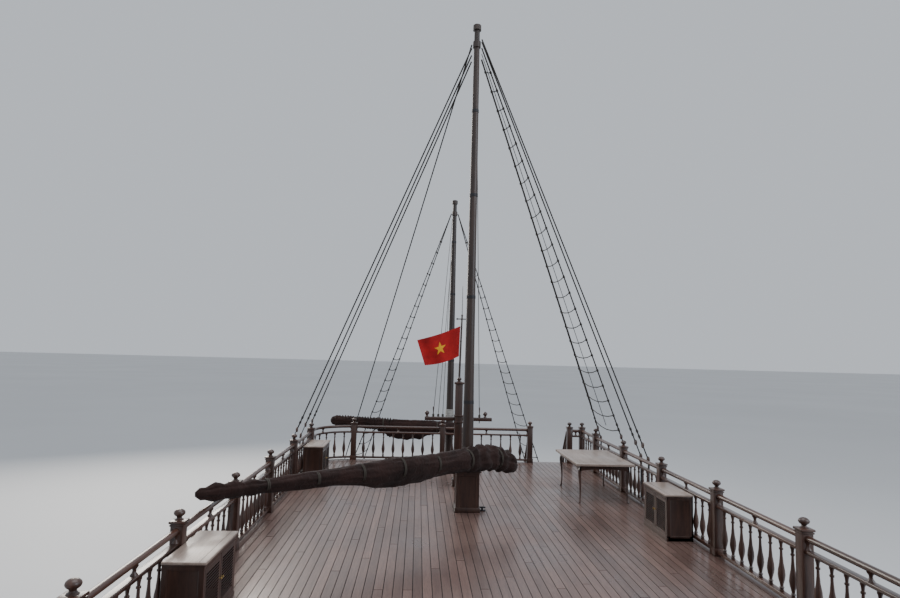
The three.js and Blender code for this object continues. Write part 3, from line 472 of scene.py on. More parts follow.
# %% Rope and cloth
def laid(name, colour, pitch, crown_light=1.25):
    """Laid rope, with painted shade in the grooves between its slanting strands and painted light on their
    crowns. pitch: metres from strand to strand.
    """
    material, tree, shader = graph(name)
    slanted = {"Vector": place_in(tree), "Rotation": (0.5, 0.35, 0.0)}
    slant = put(tree, "ShaderNodeMapping", slanted).outputs[0]
    strand = wave(tree, slant, 0.31 / pitch, 0.4, "Z")
    # the ramp's dark end is painted shade in the grooves between the strands, its light end painted light on
    # the strands' crowns
    dark, light = ([min(1, c * share) for c in colour] for share in (0.62, crown_light))
    wire(tree, shader, {"Base Color": ramp(tree, strand, [(0.1, dark), (0.7, light)]), "Roughness": 0.85,
                        "Normal": bump(tree, strand, pitch * 0.25, 0.9)})
    return material


def cloth(name, dark, light, threads=900, sheen=0.3):
    """Woven cloth: a fine crossed weave over soft, weathered patches."""
    material, tree, shader = graph(name)
    place = place_in(tree)
    patch = cloud(tree, place, 2.2, 7, Roughness=0.6)
    crease = cloud(tree, place, 11, 4, Distortion=1.4)
    weave = mix(tree, 0.5, *(wave(tree, place, threads / 6, 1.0, way) for way in ("Z", "DIAGONAL")))
    soft = bump(tree, crease, 0.022, 0.8, bump(tree, patch, 0.02, 0.6))
    wire(tree, shader, {"Base Color": ramp(tree, patch, [(0.3, dark), (0.72, light)]), "Roughness": 0.88,
                        "Specular IOR Level": 0.2, "Sheen Weight": sheen,
                        "Normal": bump(tree, weave, 0.0012, 0.6, soft)})
    return material


# %% The other finishes
IRON = plain("dark_iron", (0.035, 0.035, 0.038), 0.5, 0.7)
BRONZE = plain("bronze", (0.42, 0.27, 0.11), 0.34, 0.95)
BRASS = plain("old_brass", (0.45, 0.31, 0.12), 0.3, 0.95)
CAULK = plain("caulk", (0.010, 0.008, 0.008), 0.7, scale=30)
BOTTOM = plain("bottom_paint", (0.19, 0.035, 0.022), 0.6, scale=2.2, spots=0.4)
ROPE_DARK = laid("tarred_rope", (0.030, 0.025, 0.021), 0.022)
ROPE_LINE = laid("running_rope", (0.060, 0.050, 0.040), 0.014)
ROPE_PALE = laid("pale_rope", (0.42, 0.41, 0.39), 0.02)
SAIL_DARK = cloth("sail_cloth", (0.011, 0.006, 0.005), (0.036, 0.016, 0.013), sheen=0.08)


# %% Glass
def glazing():
    """Dark tinted glass that lets a little light through."""
    material, tree, shader = graph("window_glass")
    film = cloud(tree, place_in(tree), 1.3, 4)
    tint = ramp(tree, film, [(0.3, (0.020, 0.026, 0.030)), (0.7, (0.035, 0.042, 0.046))])
    wire(tree, shader, {"Base Color": tint, "Roughness": ramp(tree, film, [(0.35, 0.03), (0.8, 0.12)]),
                        "Transmission Weight": 0.35, "IOR": 1.45})
    return material


GLASS = glazing()
print("finishes", len(bpy.data.materials))

# %% [markdown]
# ## Camera, floor and light
# The photograph was taken by someone standing on the raised deck, looking forward with a wide lens and
# the horizon slightly tilted. A Track To constraint could aim the camera, but its tilt and roll are
# known, so its matrix is built from them. The floor stands in for the water at z 0, and broad, soft
# lamps and a pale sky light the ship evenly.

# %% Camera
EYE = Vector((-0.98, -11.46, 6.80))
PITCH, YAW, ROLL = (math.radians(a) for a in (5.06, 2.77, 1.49))
PHOTO_WIDTH, FOCAL, SENSOR = 900, 619, 36.0


def aim():
    """The camera's matrix from its pitch up, its yaw to starboard and its roll."""
    ahead = Vector((math.sin(YAW), math.cos(YAW), 0))
    right = Vector((math.cos(YAW), -math.sin(YAW), 0))
    forward = ahead * math.cos(PITCH) + Vector((0, 0, math.sin(PITCH)))
    up = Vector((0, 0, math.cos(PITCH))) - ahead * math.sin(PITCH)
    side = right * math.cos(ROLL) + up * math.sin(ROLL)
    top = up * math.cos(ROLL) - right * math.sin(ROLL)
    turn = Matrix((side, top, -forward)).transposed().to_4x4()
    return Matrix.Translation(EYE) @ turn


view = bpy.data.cameras.new("camera")
view.sensor_width, view.lens = SENSOR, SENSOR * FOCAL / PHOTO_WIDTH
view.clip_start, view.clip_end = 0.05, 2000
camera = bpy.data.objects.new("camera", view)
bpy.context.collection.objects.link(camera)
camera.matrix_world = aim()
bpy.context.scene.camera = camera
print("lens", round(view.lens, 2), "mm")

# %% Floor
FLOOR_SIZE = 900
bpy.ops.mesh.primitive_grid_add(x_subdivisions=4, y_subdivisions=4, size=FLOOR_SIZE, location=(0, 0, 0))
floor = bpy.context.object
floor.name = "floor"
floor.data.materials.append(plain("pale_floor", (0.60, 0.61, 0.62), 0.6, scale=0.05, spots=0.02))

# %% Lamps and sky
# name, place, target, size, watts, colour
LAMPS = [
    ("key", (-16, 24, 17), (0, 0, 4), 14, 5200, (1.0, 0.93, 0.84)),
    ("fill", (20, -14, 16), (0, 0, 3), 16, 2600, (0.86, 0.92, 1.0)),
    ("top", (0, -4, 26), (0, -2, 3), 18, 2600, (0.95, 0.97, 1.0)),
]
for name, place, target, size, watts, colour in LAMPS:
    lamp = bpy.data.lights.new(name, "AREA")
    lamp.size, lamp.energy, lamp.color = size, watts, colour
    holder = bpy.data.objects.new(name, lamp)
    bpy.context.collection.objects.link(holder)
    holder.location = place
    holder.rotation_euler = (Vector(target) - Vector(place)).to_track_quat("-Z", "Y").to_euler()
sky = bpy.data.worlds.new("sky")
sky.use_nodes = True
sky.node_tree.nodes["Background"].inputs["Color"].default_value = (0.80, 0.85, 0.92, 1)
sky.node_tree.nodes["Background"].inputs["Strength"].default_value = 0.75
bpy.context.scene.world = sky

# %% [markdown]
# ## Deck planking
# The sun deck has narrow boards along the ship, dark caulking between them, and butt joints broken
# from row to row. Boards could be placed one by one, but a grid whose faces are parted, shifted, inset
# and raised gives them all at once, and a bisect trims them to the deck's edge. The solid's own deck,
# lowered a little, stays below as the caulking.

# %% Boards from a grid
BOARD, SEAM, RAISED = 0.120, 0.010, 0.008


def planking(low, high, top, width=BOARD, length=5.0, seed=1):
    """Boards along Y that fill a rectangle, with broken butt joints."""
    rows = round((high[0] - low[0]) / width)
    count = math.ceil((high[1] - low[1]) / length) + 1
    step = (high[0] - low[0]) / rows
    middle = ((low[0] + high[0]) / 2, low[1] + count * length / 2 - length, top - RAISED)
    bpy.ops.mesh.primitive_grid_add(x_subdivisions=rows, y_subdivisions=count, size=1, location=middle)
    deck = bpy.context.object
    deck.scale = (high[0] - low[0], count * length, 1)
    bpy.ops.object.transform_apply()
    edit(deck)
    bpy.ops.mesh.edge_split(type="EDGE")
    mode("OBJECT")
    draw = random.Random(seed)
    shift = [((i * 0.37) % 1 + draw.uniform(0, 0.12)) * length for i in range(rows)]
    for face in deck.data.polygons:
        row = min(rows - 1, int((face.center.x - low[0]) / step))
        for index in face.vertices:
            deck.data.vertices[index].co.y += shift[row]
    mode("EDIT")
    bpy.ops.mesh.select_mode(type="FACE")
    bpy.ops.mesh.select_all(action="SELECT")
    bpy.ops.mesh.inset(thickness=SEAM / 2, use_individual=True)
    bpy.ops.mesh.select_all(action="INVERT")
    bpy.ops.mesh.delete(type="FACE")
    bpy.ops.mesh.select_all(action="SELECT")
    draw_out(0, 0, RAISED)
    mode("OBJECT")
    trim(deck, (0, low[1], 0), (0, -1, 0))
    trim(deck, (0, high[1], 0), (0, 1, 0))
    return deck


# %% Trimmed edges and the bed
def trim(piece, place, outward):
    """Cut away what lies beyond a plane and close the ends."""
    edit(piece)
    bpy.ops.mesh.bisect(plane_co=place, plane_no=outward, use_fill=True, clear_outer=True)
    done()


def lowered(node, name, top, material, drop=RAISED):
    """A merged copy of a deck solid whose top is let down for the boards that lie in it."""
    base = twin(frame["nodes"][node])
    base.parent = None
    base.matrix_world = Matrix.Identity(4)
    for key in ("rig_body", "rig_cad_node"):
        del base[key]
    base.data.materials.clear()
    for finish_of in (material, CAULK):
        base.data.materials.append(finish_of)
    for vertex in base.data.vertices:
        if abs(vertex.co.z - top) < 0.001:
            vertex.co.z -= drop
    edit(base)
    bpy.ops.mesh.remove_doubles(threshold=0.0001)
    mode("OBJECT")
    for face in base.data.polygons:
        face.material_index = int(face.normal.z > 0.9 and face.center.z > top - 2 * drop)
    return finish(name, [base], material, replaces=[node])


# %% Sun deck
MARGIN = 0.22
lowered("sun_deck", "sun_deck_bed", SUN_TOP, TRIM_WOOD)
inner = SUN_SIDE - MARGIN
field = planking((-inner, SUN_AFT + 0.02), (inner, SUN_FRONT - MARGIN), SUN_TOP)
corner = Vector((-SUN_SIDE + SUN_CORNER, SUN_FRONT - SUN_CORNER, 0))
for degrees in (105, 120, 135, 150, 165):
    turn = math.radians(degrees)
    out = Vector((math.cos(turn), math.sin(turn), 0))
    trim(field, corner + out * (SUN_CORNER - MARGIN), out)


def ring_board(x0, x1, y0, y1):
    """One straight margin board along the deck's edge."""
    gap = SEAM / 2
    return board((x0 + gap, y0 + gap, SUN_TOP - RAISED), (x1 - gap, y1 - gap, SUN_TOP))


def corner_board(outer, inner):
    """The curved margin board: a ring trimmed to a quarter and raised."""
    middle, shrink = (corner.x, corner.y, SUN_TOP - RAISED), inner / outer
    bpy.ops.mesh.primitive_circle_add(vertices=72, radius=outer, fill_type="NOTHING", location=middle)
    piece = bpy.context.object
    bpy.ops.object.transform_apply()
    edit(piece)
    bpy.ops.mesh.extrude_region_move()
    bpy.ops.transform.resize(value=(shrink, shrink, 1), center_override=middle)
    for away in ((1, 0, 0), (0, -1, 0)):
        bpy.ops.mesh.select_all(action="SELECT")
        edge = corner - Vector(away) * SEAM / 2
        bpy.ops.mesh.bisect(plane_co=edge, plane_no=away, clear_outer=True)
    bpy.ops.mesh.select_all(action="SELECT")
    draw_out(0, 0, RAISED)
    done()
    return piece


margins = [
    ring_board(-SUN_SIDE, -inner, SUN_AFT + 0.02, corner.y),
    ring_board(inner, SUN_SIDE, SUN_AFT + 0.02, SUN_FRONT),
    ring_board(corner.x, inner, SUN_FRONT - MARGIN, SUN_FRONT),
    corner_board(SUN_CORNER - 0.003, SUN_CORNER - MARGIN + SEAM),
]
finish("sun_deck_boards", [field, *margins], DECK_WOOD)

# %% [markdown]
# ## Turned rails
# Square posts stand along the deck's edge. Between them run a round handrail, a lower rail with short
# spindles over it and a foot rail, with turned balusters between those two. An array would do for one
# bay, but the bays differ in length, so each spaces its own copies of one baluster. The round corner
# is built straight and then bent by a Curve modifier.

# %% Patterns for the rails
UP = Vector((0, 0, 1))
POST_WIDE, POST_TOP = 0.14, 0.955
LOWER_HIGH, FOOT_HIGH, RAIL_WIDE = 0.045, 0.05, 0.09
FULL_BAY, FULL_SPACES, BAY_STEP = 1.8, 9, 0.245
# (share of the height, radius)
BALUSTER = [(0, 0.027), (0.04, 0.027), (0.05, 0.019), (0.08, 0.031), (0.11, 0.019), (0.16, 0.024),
            (0.24, 0.038), (0.32, 0.045), (0.42, 0.040), (0.55, 0.025), (0.70, 0.017), (0.80, 0.0155),
            (0.81, 0.025), (0.84, 0.025), (0.85, 0.0155), (0.92, 0.020), (0.955, 0.028), (1, 0.028)]
SPINDLE = [(0, 0.040), (0.12, 0.035), (0.3, 0.022), (0.5, 0.017), (0.7, 0.022), (0.88, 0.035), (1, 0.040)]
# (height above the deck, radius)
FINIAL = [(0.975, 0.052), (0.985, 0.050), (0.995, 0.034), (1.008, 0.027), (1.020, 0.032), (1.032, 0.050),
          (1.045, 0.060), (1.060, 0.063), (1.076, 0.057), (1.090, 0.042), (1.099, 0.022), (1.102, 0.004)]


def stem(profile, low, high, sides=12):
    """A turned stem that fills a gap. profile: (share of the height, radius)."""
    return turned([(low + share * (high - low), radius) for share, radius in profile], sides)


def corner_post():
    """A rail post with its foot, collar and turned finial."""
    shaft = easy(about(0, 0, 0, POST_TOP, POST_WIDE), 0.007)
    foot = easy(about(0, 0, 0, 0.11, POST_WIDE + 0.024), 0.006)
    collar = easy(about(0, 0, POST_TOP - 0.03, POST_TOP - 0.012, POST_WIDE + 0.018), 0.004)
    cap = easy(about(0, 0, POST_TOP - 0.004, 0.98, POST_WIDE + 0.034), 0.008)
    parts = [paint(part, RAIL_DARK) for part in (shaft, foot, collar, cap, turned(FINIAL, 18))]
    post = only(*parts)
    bpy.ops.object.join()
    return post


baluster = paint(stem(BALUSTER, FOOT_TOP - 0.004, LOWER_TOP - LOWER_HIGH + 0.004), RAIL_DARK)
spindle = paint(stem(SPINDLE, LOWER_TOP - 0.003, HAND_TOP - 2 * GRIP_R + 0.006), RAIL_DARK)
post = corner_post()
print("baluster", len(baluster.data.polygons), "faces, post", len(post.data.polygons))


# %% One bay
def straight_bay(length, spaces, cuts=0):
    """A bay along X from the origin; its rails need cuts where they are bent."""
    grip = bar((0, 0, HAND_TOP - GRIP_R), (length, 0, HAND_TOP - GRIP_R), GRIP_R, sides=16)
    bpy.ops.object.transform_apply()
    half = RAIL_WIDE / 2
    lower = easy(board((0, -half, LOWER_TOP - LOWER_HIGH), (length, half, LOWER_TOP)), 0.012, 3)
    foot = easy(board((0, -half, FOOT_TOP - FOOT_HIGH), (length, half, FOOT_TOP)), 0.010, 3)
    rails = [grip, lower, foot]
    if cuts:
        for rail in rails:
            cut_up(rail, 0, cuts)
    stems = [twin(baluster, (length * i / spaces, 0, 0)) for i in range(1, spaces)]
    inset = POST_WIDE / 2
    stems += [twin(spindle, (x, 0, 0)) for x in (inset, length / 2, length - inset)]
    return rails, stems


def rail_bay(a, b, deck):
    """One straight bay between two posts on a deck."""
    a, b = Vector((*a, deck)), Vector((*b, deck))
    way = b - a
    length = way.length
    spaces = FULL_SPACES if length > FULL_BAY else max(1, round(length / BAY_STEP))
    rails, stems = straight_bay(length, spaces)
    wood_here = RAIL_LONG if abs(way.y) > abs(way.x) else RAIL_CROSS
    turn = pose(a, math.atan2(way.y, way.x))
    for part in rails:
        paint(part, wood_here)
        part.matrix_world = turn
    for part in stems:
        part.matrix_world = turn @ Matrix.Translation(part.location)
    return rails + stems


def railing(corners, deck):
    """Bays along a line of corners, with a post at each corner."""
    parts = []
    for a, b in zip(corners, corners[1:]):
        parts += rail_bay(a, b, deck)
    return parts + [twin(post, (*corner, deck)) for corner in corners]


def finish_rail(node, parts):
    """Join a rail's bays and posts in place of the solid rail."""
    finish(f"{node}_turned", parts, RAIL_DARK, replaces=[node])


# %% The round corner
BEND_Y, BEND_TURN_Y, BEND_X, BEND_STEPS = 4.40, 4.80, -2.66, 24
STAIR_POST_X = 3.24


def corner_path():
    """A line along the port rail that turns inboard on a quarter ellipse."""
    bpy.ops.curve.primitive_nurbs_path_add()
    path = bpy.context.object
    path.data.splines.clear()
    line = path.data.splines.new("POLY")
    wide, deep = RAIL_X + BEND_X, FAR_RAIL_Y - BEND_TURN_Y
    turns = [math.pi / 2 * i / BEND_STEPS for i in range(BEND_STEPS + 1)]
    spots = [(-RAIL_X, BEND_Y)]
    spots += [(BEND_X - wide * math.cos(t), BEND_TURN_Y + deep * math.sin(t)) for t in turns]
    line.points.add(len(spots) - 1)
    for point, spot in zip(line.points, spots):
        point.co = (*spot, SUN_TOP, 1)
    return path, sum(math.dist(a, b) for a, b in zip(spots, spots[1:]))


path, arc_length = corner_path()
rails, stems = straight_bay(arc_length, 7, cuts=22)
for part in stems:
    only(part)
    bpy.ops.object.transform_apply()
bent = [paint(part, RAIL_CROSS) for part in rails] + stems
for part in bent:
    apply(part, "CURVE", object=path, deform_axis="POS_X")
scrap(path)
print("corner rail", round(arc_length, 2), "m long")

# %% All rails
SIDE_ROWS = (-2.9, -2, -1, 0, 1, 2, 3, 4)
port_posts = [(-RAIL_X, row_y(k)) for k in SIDE_ROWS]
finish_rail("sun_rail_port", railing(port_posts, SUN_TOP))
starboard_posts = [(RAIL_X, y) for _, y in port_posts] + [(RAIL_X, FAR_RAIL_Y), (STAIR_POST_X, FAR_RAIL_Y)]
finish_rail("sun_rail_starboard", railing(starboard_posts, SUN_TOP))
stub = rail_bay((-RAIL_X, row_y(4)), (-RAIL_X, BEND_Y), SUN_TOP)
scrap(*stub[3:])
stub = stub[:3]
forward = railing([(x, FAR_RAIL_Y) for x in (BEND_X, -0.26, 2.14)], SUN_TOP)
finish_rail("sun_rail_forward", forward + bent + stub)
POOP_SIDE = [(3.41, -10.66), (3.26, -12.0), (3.11, -13.0), (2.75, -14.37)]
poop_line = [(2.28, -10.66), *POOP_SIDE, (0, -14.37), *[(-x, y) for x, y in reversed(POOP_SIDE)],
             (-1.2, -10.66), (1.02, -10.66)]
finish_rail("poop_rail", railing(poop_line, POOP_TOP))
scrap(baluster, spindle, post)

# %% [markdown]
# ## Masts
# Both masts are single tapered spars, oiled nearly black, with iron bands where shrouds and halyards
# pull, and stand in panelled boxes. A cone could pass for a spar, but a turned outline draws its collar
# and cap as well. The boxes are cubes whose sides are inset and pressed in for the panels.

# %% Spars and their boxes
# (rise, distance out from the spar) of an iron band
BAND = [(-0.03, -0.01), (-0.03, 0.006), (0.03, 0.005), (0.03, -0.01)]


def panelled(low, high, rim=0.06, depth=0.012):
    """A box with one sunk panel on each upright side."""
    box = board(low, high)
    pick(box, lambda place, way: abs(way.z) < 0.5)
    sink(rim, depth)
    done()
    return box


def mast(name, spec, step_wide, step_high, bands):
    """A mast with its bands, cap and collar, and the box that it stands in."""
    y, top, foot, low, high = (spec[key] for key in ("y", "top", "foot", "low", "high"))

    def radius(z):
        return low + (high - low) * (z - foot) / (top - 0.09 - foot)

    seat = spec["boom"] - 0.06
    collar = ((-0.06, 0.012), (-0.058, 0.068), (-0.004, 0.070), (0, 0.06), (0.001, 0.012))
    profile = [(foot, low), *[(seat + rise, radius(seat) + out) for rise, out in collar]]
    profile += [(z, radius(z)) for z in (foot + (top - foot) * i / 12 for i in range(3, 12))]
    profile = sorted(p for p in profile if p[0] < top - 0.49)
    profile += [(top - 0.485, radius(top - 0.48)), (top - 0.48, high + 0.024), (top - 0.36, high + 0.024),
                (top - 0.355, radius(top - 0.36)), (top - 0.125, radius(top - 0.12)),
                (top - 0.12, high + 0.028), (top - 0.02, high + 0.026), (top - 0.006, high + 0.012),
                (top, high * 0.5)]
    spar = paint(turned(profile, 32, at=(0, y, 0)), MAST_DARK)
    rings = []
    for z in bands:
        band = [(z + rise, radius(z) + out) for rise, out in BAND]
        rings.append(paint(turned(band, 32, at=(0, y, 0)), IRON))
    finish(f"{name}_mast_spar", [spar, *rings], MAST_DARK, replaces=[f"{name}_mast"])
    half = step_wide / 2
    box = panelled((-half, y - half, foot), (half, y + half, foot + step_high - 0.04))
    skirt = easy(about(0, y, foot, foot + 0.09, step_wide + 0.04), 0.010)
    lid = easy(about(0, y, foot + step_high - 0.045, foot + step_high, step_wide + 0.05), 0.012)
    above = foot + step_high
    wedges = turned([(above - 0.01, low + 0.045), (above + 0.012, low + 0.040), (above + 0.022, low + 0.012)],
                    16, at=(0, y, 0))
    finish(f"{name}_mast_box", [box, skirt, lid, wedges], RAIL_DARK,
           replaces=[f"{name}_mast_step"])


mast("main", MAIN_MAST, 0.43, 0.76, (5.9, 7.9, 9.9, 11.6))
mast("fore", FORE_MAST, 0.48, 0.90, (3.6, 6.6, 8.6, 10.2))

# %% [markdown]
# ## Furled sails
# Each sail is lowered onto its boom and rolled into a long, creased bundle with rope gaskets round it.
# A cloth simulation would take minutes, so a cylinder with many cuts has its skin pushed in and out by
# layered noise: long folds, cross wrinkles, and a nip at each gasket.

# %% Sizes of the two rolls
# long, short: reach of the roll on each side of the mast; angle: where its long arm points;
# tip: height of the long arm's end; thick: radius at the mast; droop: how far the short end hangs
FURLED = {
    "main": dict(mast=MAIN_MAST, long=5.20, short=0.95, angle=221, tip=4.96, thick=0.21, droop=0.19,
                 seed=3.1),
    "fore": dict(mast=FORE_MAST, long=3.42, short=0.38, angle=181.5, tip=4.81, thick=0.17, droop=0.04,
                 seed=7.7),
}
# share of the arm, radius as a share of the thickness
ROLL = {
    "main": [(-1.02, 0.18), (-1, 0.62), (-0.9, 0.85), (-0.5, 0.97), (0, 1.0), (0.2, 0.82), (0.38, 0.88),
             (0.5, 0.72), (0.64, 0.52), (0.85, 0.40), (0.97, 0.46), (1.0, 0.32), (1.012, 0.08)],
    "fore": [(-1.02, 0.18), (-1, 0.60), (-0.5, 0.95), (0, 1.0), (0.5, 0.95), (0.85, 0.88), (0.96, 0.80),
             (1.0, 0.55), (1.012, 0.10)],
}
# place along the roll, how far a loose bight of its cloth hangs there
BELLY = {
    "main": [(0.9, 0.0), (1.6, 0.06), (2.2, 0.09), (3.0, 0.0)],
    "fore": [(0.42, 0.0), (0.62, 0.06), (0.9, 0.20), (1.3, 0.27), (1.7, 0.20), (2.0, 0.07), (2.2, 0.0)],
}
# where the roll's top edge is bunched into pleats: (from, to) along it
BUNCHED = {"main": (0.5, 4.3), "fore": (-0.1, 1.7)}
ROLL_SIDES, ROLL_CUTS, GASKET_STEP, PLEAT = 60, 340, 0.78, 0.082


# %% The roll's place and thickness
def table_value(table, share):
    """Read a value between the rows of a short table, easing from row to row."""
    for (a, u), (b, v) in zip(table, table[1:]):
        if share <= b:
            t = max(0.0, (share - a) / (b - a))
            return u + (v - u) * t * t * (3 - 2 * t)
    return table[-1][1]


def roll_axis(spec):
    """The roll's own frame: a function from (place along, aside, up) to the ship."""
    a = math.radians(spec["angle"])
    along = Vector((math.cos(a), math.sin(a), 0))
    aside = Vector((-math.sin(a), math.cos(a), 0))
    aside = aside if aside.y < 0 else -aside
    mast_y, boom = spec["mast"]["y"], spec["mast"]["boom"]
    off = spec["mast"]["low"] + spec["thick"] + 0.045

    def spot(s, u=0.0, v=0.0):
        z = boom + (spec["tip"] - boom) * s / spec["long"]
        if s < 0:
            z -= spec["droop"] * (s / spec["short"]) ** 2
        return Vector((0, mast_y, z)) + along * s + aside * (off + u) + UP * v

    return spot


def roll_radius(name, spec, s):
    """The roll's radius at a place along it."""
    return spec["thick"] * table_value(ROLL[name], s / (spec["long"] if s > 0 else spec["short"]))


def loose(name, s):
    """How far the cloth hangs below the roll at a place along it."""
    return table_value(BELLY[name], s) * (1 + 0.25 * noise.noise(Vector((s * 5, 1.7, 0))))


# %% The roll of cloth
def creased(s, angle, seed, bunched):
    """Folds, pleats and puckers: how far the cloth stands out or in."""
    drift = noise.noise(Vector((s * 0.45, seed, 0.3)))
    fold = abs(math.sin(angle * 2.5 + drift * 3.4 + 0.4))
    lay = noise.noise(Vector((s * 1.1 + seed, math.cos(angle) * 1.6, math.sin(angle) * 1.6)))
    crease = abs(noise.noise(Vector((s * 3.2, math.cos(angle) * 2.6 + seed, math.sin(angle) * 2.6))))
    smooth_from, smooth_to = bunched
    top = (0.5 + 0.5 * max(0.0, math.sin(angle))) * (0.12 if smooth_from < s < smooth_to else 1.0)
    pleats = s * 2 * math.pi / PLEAT + 2.6 * noise.noise(Vector((s * 2.0, angle, seed)))
    away = abs((s / GASKET_STEP) % 1 - 0.5) * GASKET_STEP
    pucker = math.cos(angle * 11 + seed * s) * math.exp(-away / 0.10)
    out = 0.97 + 0.07 * (fold - 0.5) + 0.12 * lay - 0.20 * crease
    out += 0.20 * top * math.sin(pleats) + 0.028 * pucker
    return out * (1 - 0.07 * math.exp(-(away / 0.045) ** 2))


def furled(name, spec):
    """The creased roll of one sail."""
    spot = roll_axis(spec)
    start, end = (share * reach for share, reach in ((-1.02, spec["short"]), (1.012, spec["long"])))
    bpy.ops.mesh.primitive_cylinder_add(vertices=ROLL_SIDES, radius=1, depth=1, end_fill_type="TRIFAN",
                                        rotation=(0, math.pi / 2, 0))
    roll = bpy.context.object
    bpy.ops.object.transform_apply()
    cut_up(roll, 0, ROLL_CUTS)
    for vertex in roll.data.vertices:
        share, aside, up = vertex.co
        s = start + (share + 0.5) * (end - start)
        angle, reach = math.atan2(up, aside), math.hypot(aside, up)
        r = roll_radius(name, spec, s) * reach * creased(s, angle, spec["seed"], BUNCHED[name])
        under = max(0.0, -math.sin(angle)) * reach
        sag = under * (0.10 * spec["thick"] + loose(name, s))
        slim = 0.92 - 0.9 * loose(name, s) * under
        vertex.co = spot(s, math.cos(angle) * r * slim, math.sin(angle) * r * 1.06 - sag)
    outward(roll)
    finish(f"{name}_sail_roll", [roll], SAIL_DARK, body=f"{name}_sail",
           replaces=[f"{name}_sail"], smooth=60)


# %% Boom, jaws and gaskets
def spar_and_gaskets(name, spec):
    """The boom with its jaws, and the gaskets that bind the roll."""
    spot = roll_axis(spec)
    long, short = spec["long"], spec["short"]
    boom = paint(bar(spot(-0.2), spot(long - 0.03), 0.045, 0.035, 20), MAST_DARK)
    low = spec["mast"]["low"]
    off = low + spec["thick"] + 0.045
    jaws = []
    for sign in (-1, 1):
        s = sign * (low + 0.045)
        a, b = spot(s, 0), spot(s, -off - low)
        jaw = board((0, -0.022, -0.055), ((b - a).length, 0.022, 0.055))
        placed(jaw, a, math.atan2(b.y - a.y, b.x - a.x))
        jaws.append(paint(easy(jaw, 0.012), MAST_DARK))
    loops = []
    first, last = math.ceil(-short * 0.9 / GASKET_STEP), math.floor(long * 0.97 / GASKET_STEP)
    way = (spot(1) - spot(0)).to_track_quat("Z", "Y")
    for i in range(first, last + 1):
        s = (i + 0.5) * GASKET_STEP
        if not -short * 0.95 < s < long * 0.97 or loose(name, s) > 0.1:
            continue
        r = max(roll_radius(name, spec, s) * 0.93, 0.05)
        for lay in (-0.012, 0.012):
            loops.append(paint(hoop(spot(s + lay), r, 0.009, 28, way.to_euler()), ROPE_LINE))
    finish(f"{name}_boom_gaskets", [boom, *jaws, *loops], MAST_DARK, body=f"{name}_sail",
           replaces=[f"{name}_sail"])


for name, spec in FURLED.items():
    furled(name, spec)
    spar_and_gaskets(name, spec)

# %% [markdown]
# ## Standing rigging
# Wire shrouds, served with tarred line, run from the masthead to irons outside the rail. Each ends in
# two deadeyes with a lanyard, and two of them to starboard carry rungs to climb by. They could be
# simulated as cords, but taut lines don't move, so they are round bars with a rope finish.

# %% Shrouds and deadeyes
SHROUD_R, IRON_X, RUNG_R, WIRE_R = 0.014, SUN_SIDE + 0.016, 0.011, 0.007
MAIN_FEET = {"port": (2.6, 3.7, 4.7), "starboard": (1.08, 1.5, 2.46, 4.36)}
# place along the ship: (distance from the centreline, height) of a foot on the bulwark
CAP_FEET = {7.75: (3.395, 2.49), 8.3: (3.24, 2.53), 9.5: (2.885, 2.62)}
MAST_HOLD, HEAD_X, EYE_UP, CLIMB_FROM = 0.42, 0.10, 0.85, 1.3
deadeye = turned([(-0.022, 0.030), (-0.016, 0.052), (-0.005, 0.058), (0.005, 0.058), (0.016, 0.052),
                  (0.022, 0.030)], 14)


def lanyard(foot, way, span=0.34):
    """A lower and an upper deadeye with three parts of line between them."""
    side = Vector((0, 1, 0))
    parts = []
    for reach in (0.03, span):
        eye = placed(twin(deadeye), foot + way * reach, math.pi / 2, "Y")
        parts.append(paint(eye, RAIL_DARK))
    for shift in (-0.026, 0, 0.026):
        parts.append(bar(foot + way * 0.03 + side * shift, foot + way * span + side * shift, 0.006, sides=6))
    return parts


def shroud(head, foot):
    """One shroud with its lanyard and seizings."""
    head, foot = Vector(head), Vector(foot)
    way = (head - foot).normalized()
    parts = [bar(foot + way * 0.36, head, SHROUD_R, sides=8)]
    for at in (0.50, 0.62):
        parts.append(bar(foot + way * at, foot + way * (at + 0.05), SHROUD_R * 1.7, sides=8))
    return parts + lanyard(foot, way)


# %% Rungs, irons and wires
def rungs(legs, low, high, step=0.33):
    """Ratlines between two (head, foot) shrouds, sagging a little and seized at both ends."""
    parts, shares = [], (0, 0.25, 0.5, 0.75, 1)
    z = low
    while z < high:
        ends = [foot + (head - foot) * ((z - foot.z) / (head.z - foot.z)) for head, foot in legs]
        wide = (ends[1] - ends[0]).length
        line = [ends[0].lerp(ends[1], u) - UP * 0.2 * u * (1 - u) * wide for u in shares]
        parts += [bar(a, b, RUNG_R, sides=6) for a, b in zip(line, line[1:])]
        for (head, foot), end in zip(legs, ends):
            way = (head - foot).normalized() * 0.022
            parts.append(bar(end - way, end + way, SHROUD_R * 1.7, sides=6))
        z += step
    return parts


def chain_iron(x, y, sign):
    """A flat iron that stands up outside the deck's edge to hold a deadeye."""
    strap = easy(about(x, y, SUN_TOP - 0.20, SUN_TOP + 0.82, 0.024, 0.055), 0.004)
    eye = turned([(-0.014, 0.018), (-0.014, 0.036), (0.014, 0.036), (0.014, 0.018)], 14)
    placed(eye, (x, y, SUN_TOP + 0.83), math.pi / 2, "Y")
    bolts = [bar((x, y, SUN_TOP - down), (x + sign * 0.022, y, SUN_TOP - down), 0.012, sides=6)
             for down in (0.165, 0.08)]
    return [paint(part, IRON) for part in (strap, eye, *bolts)]


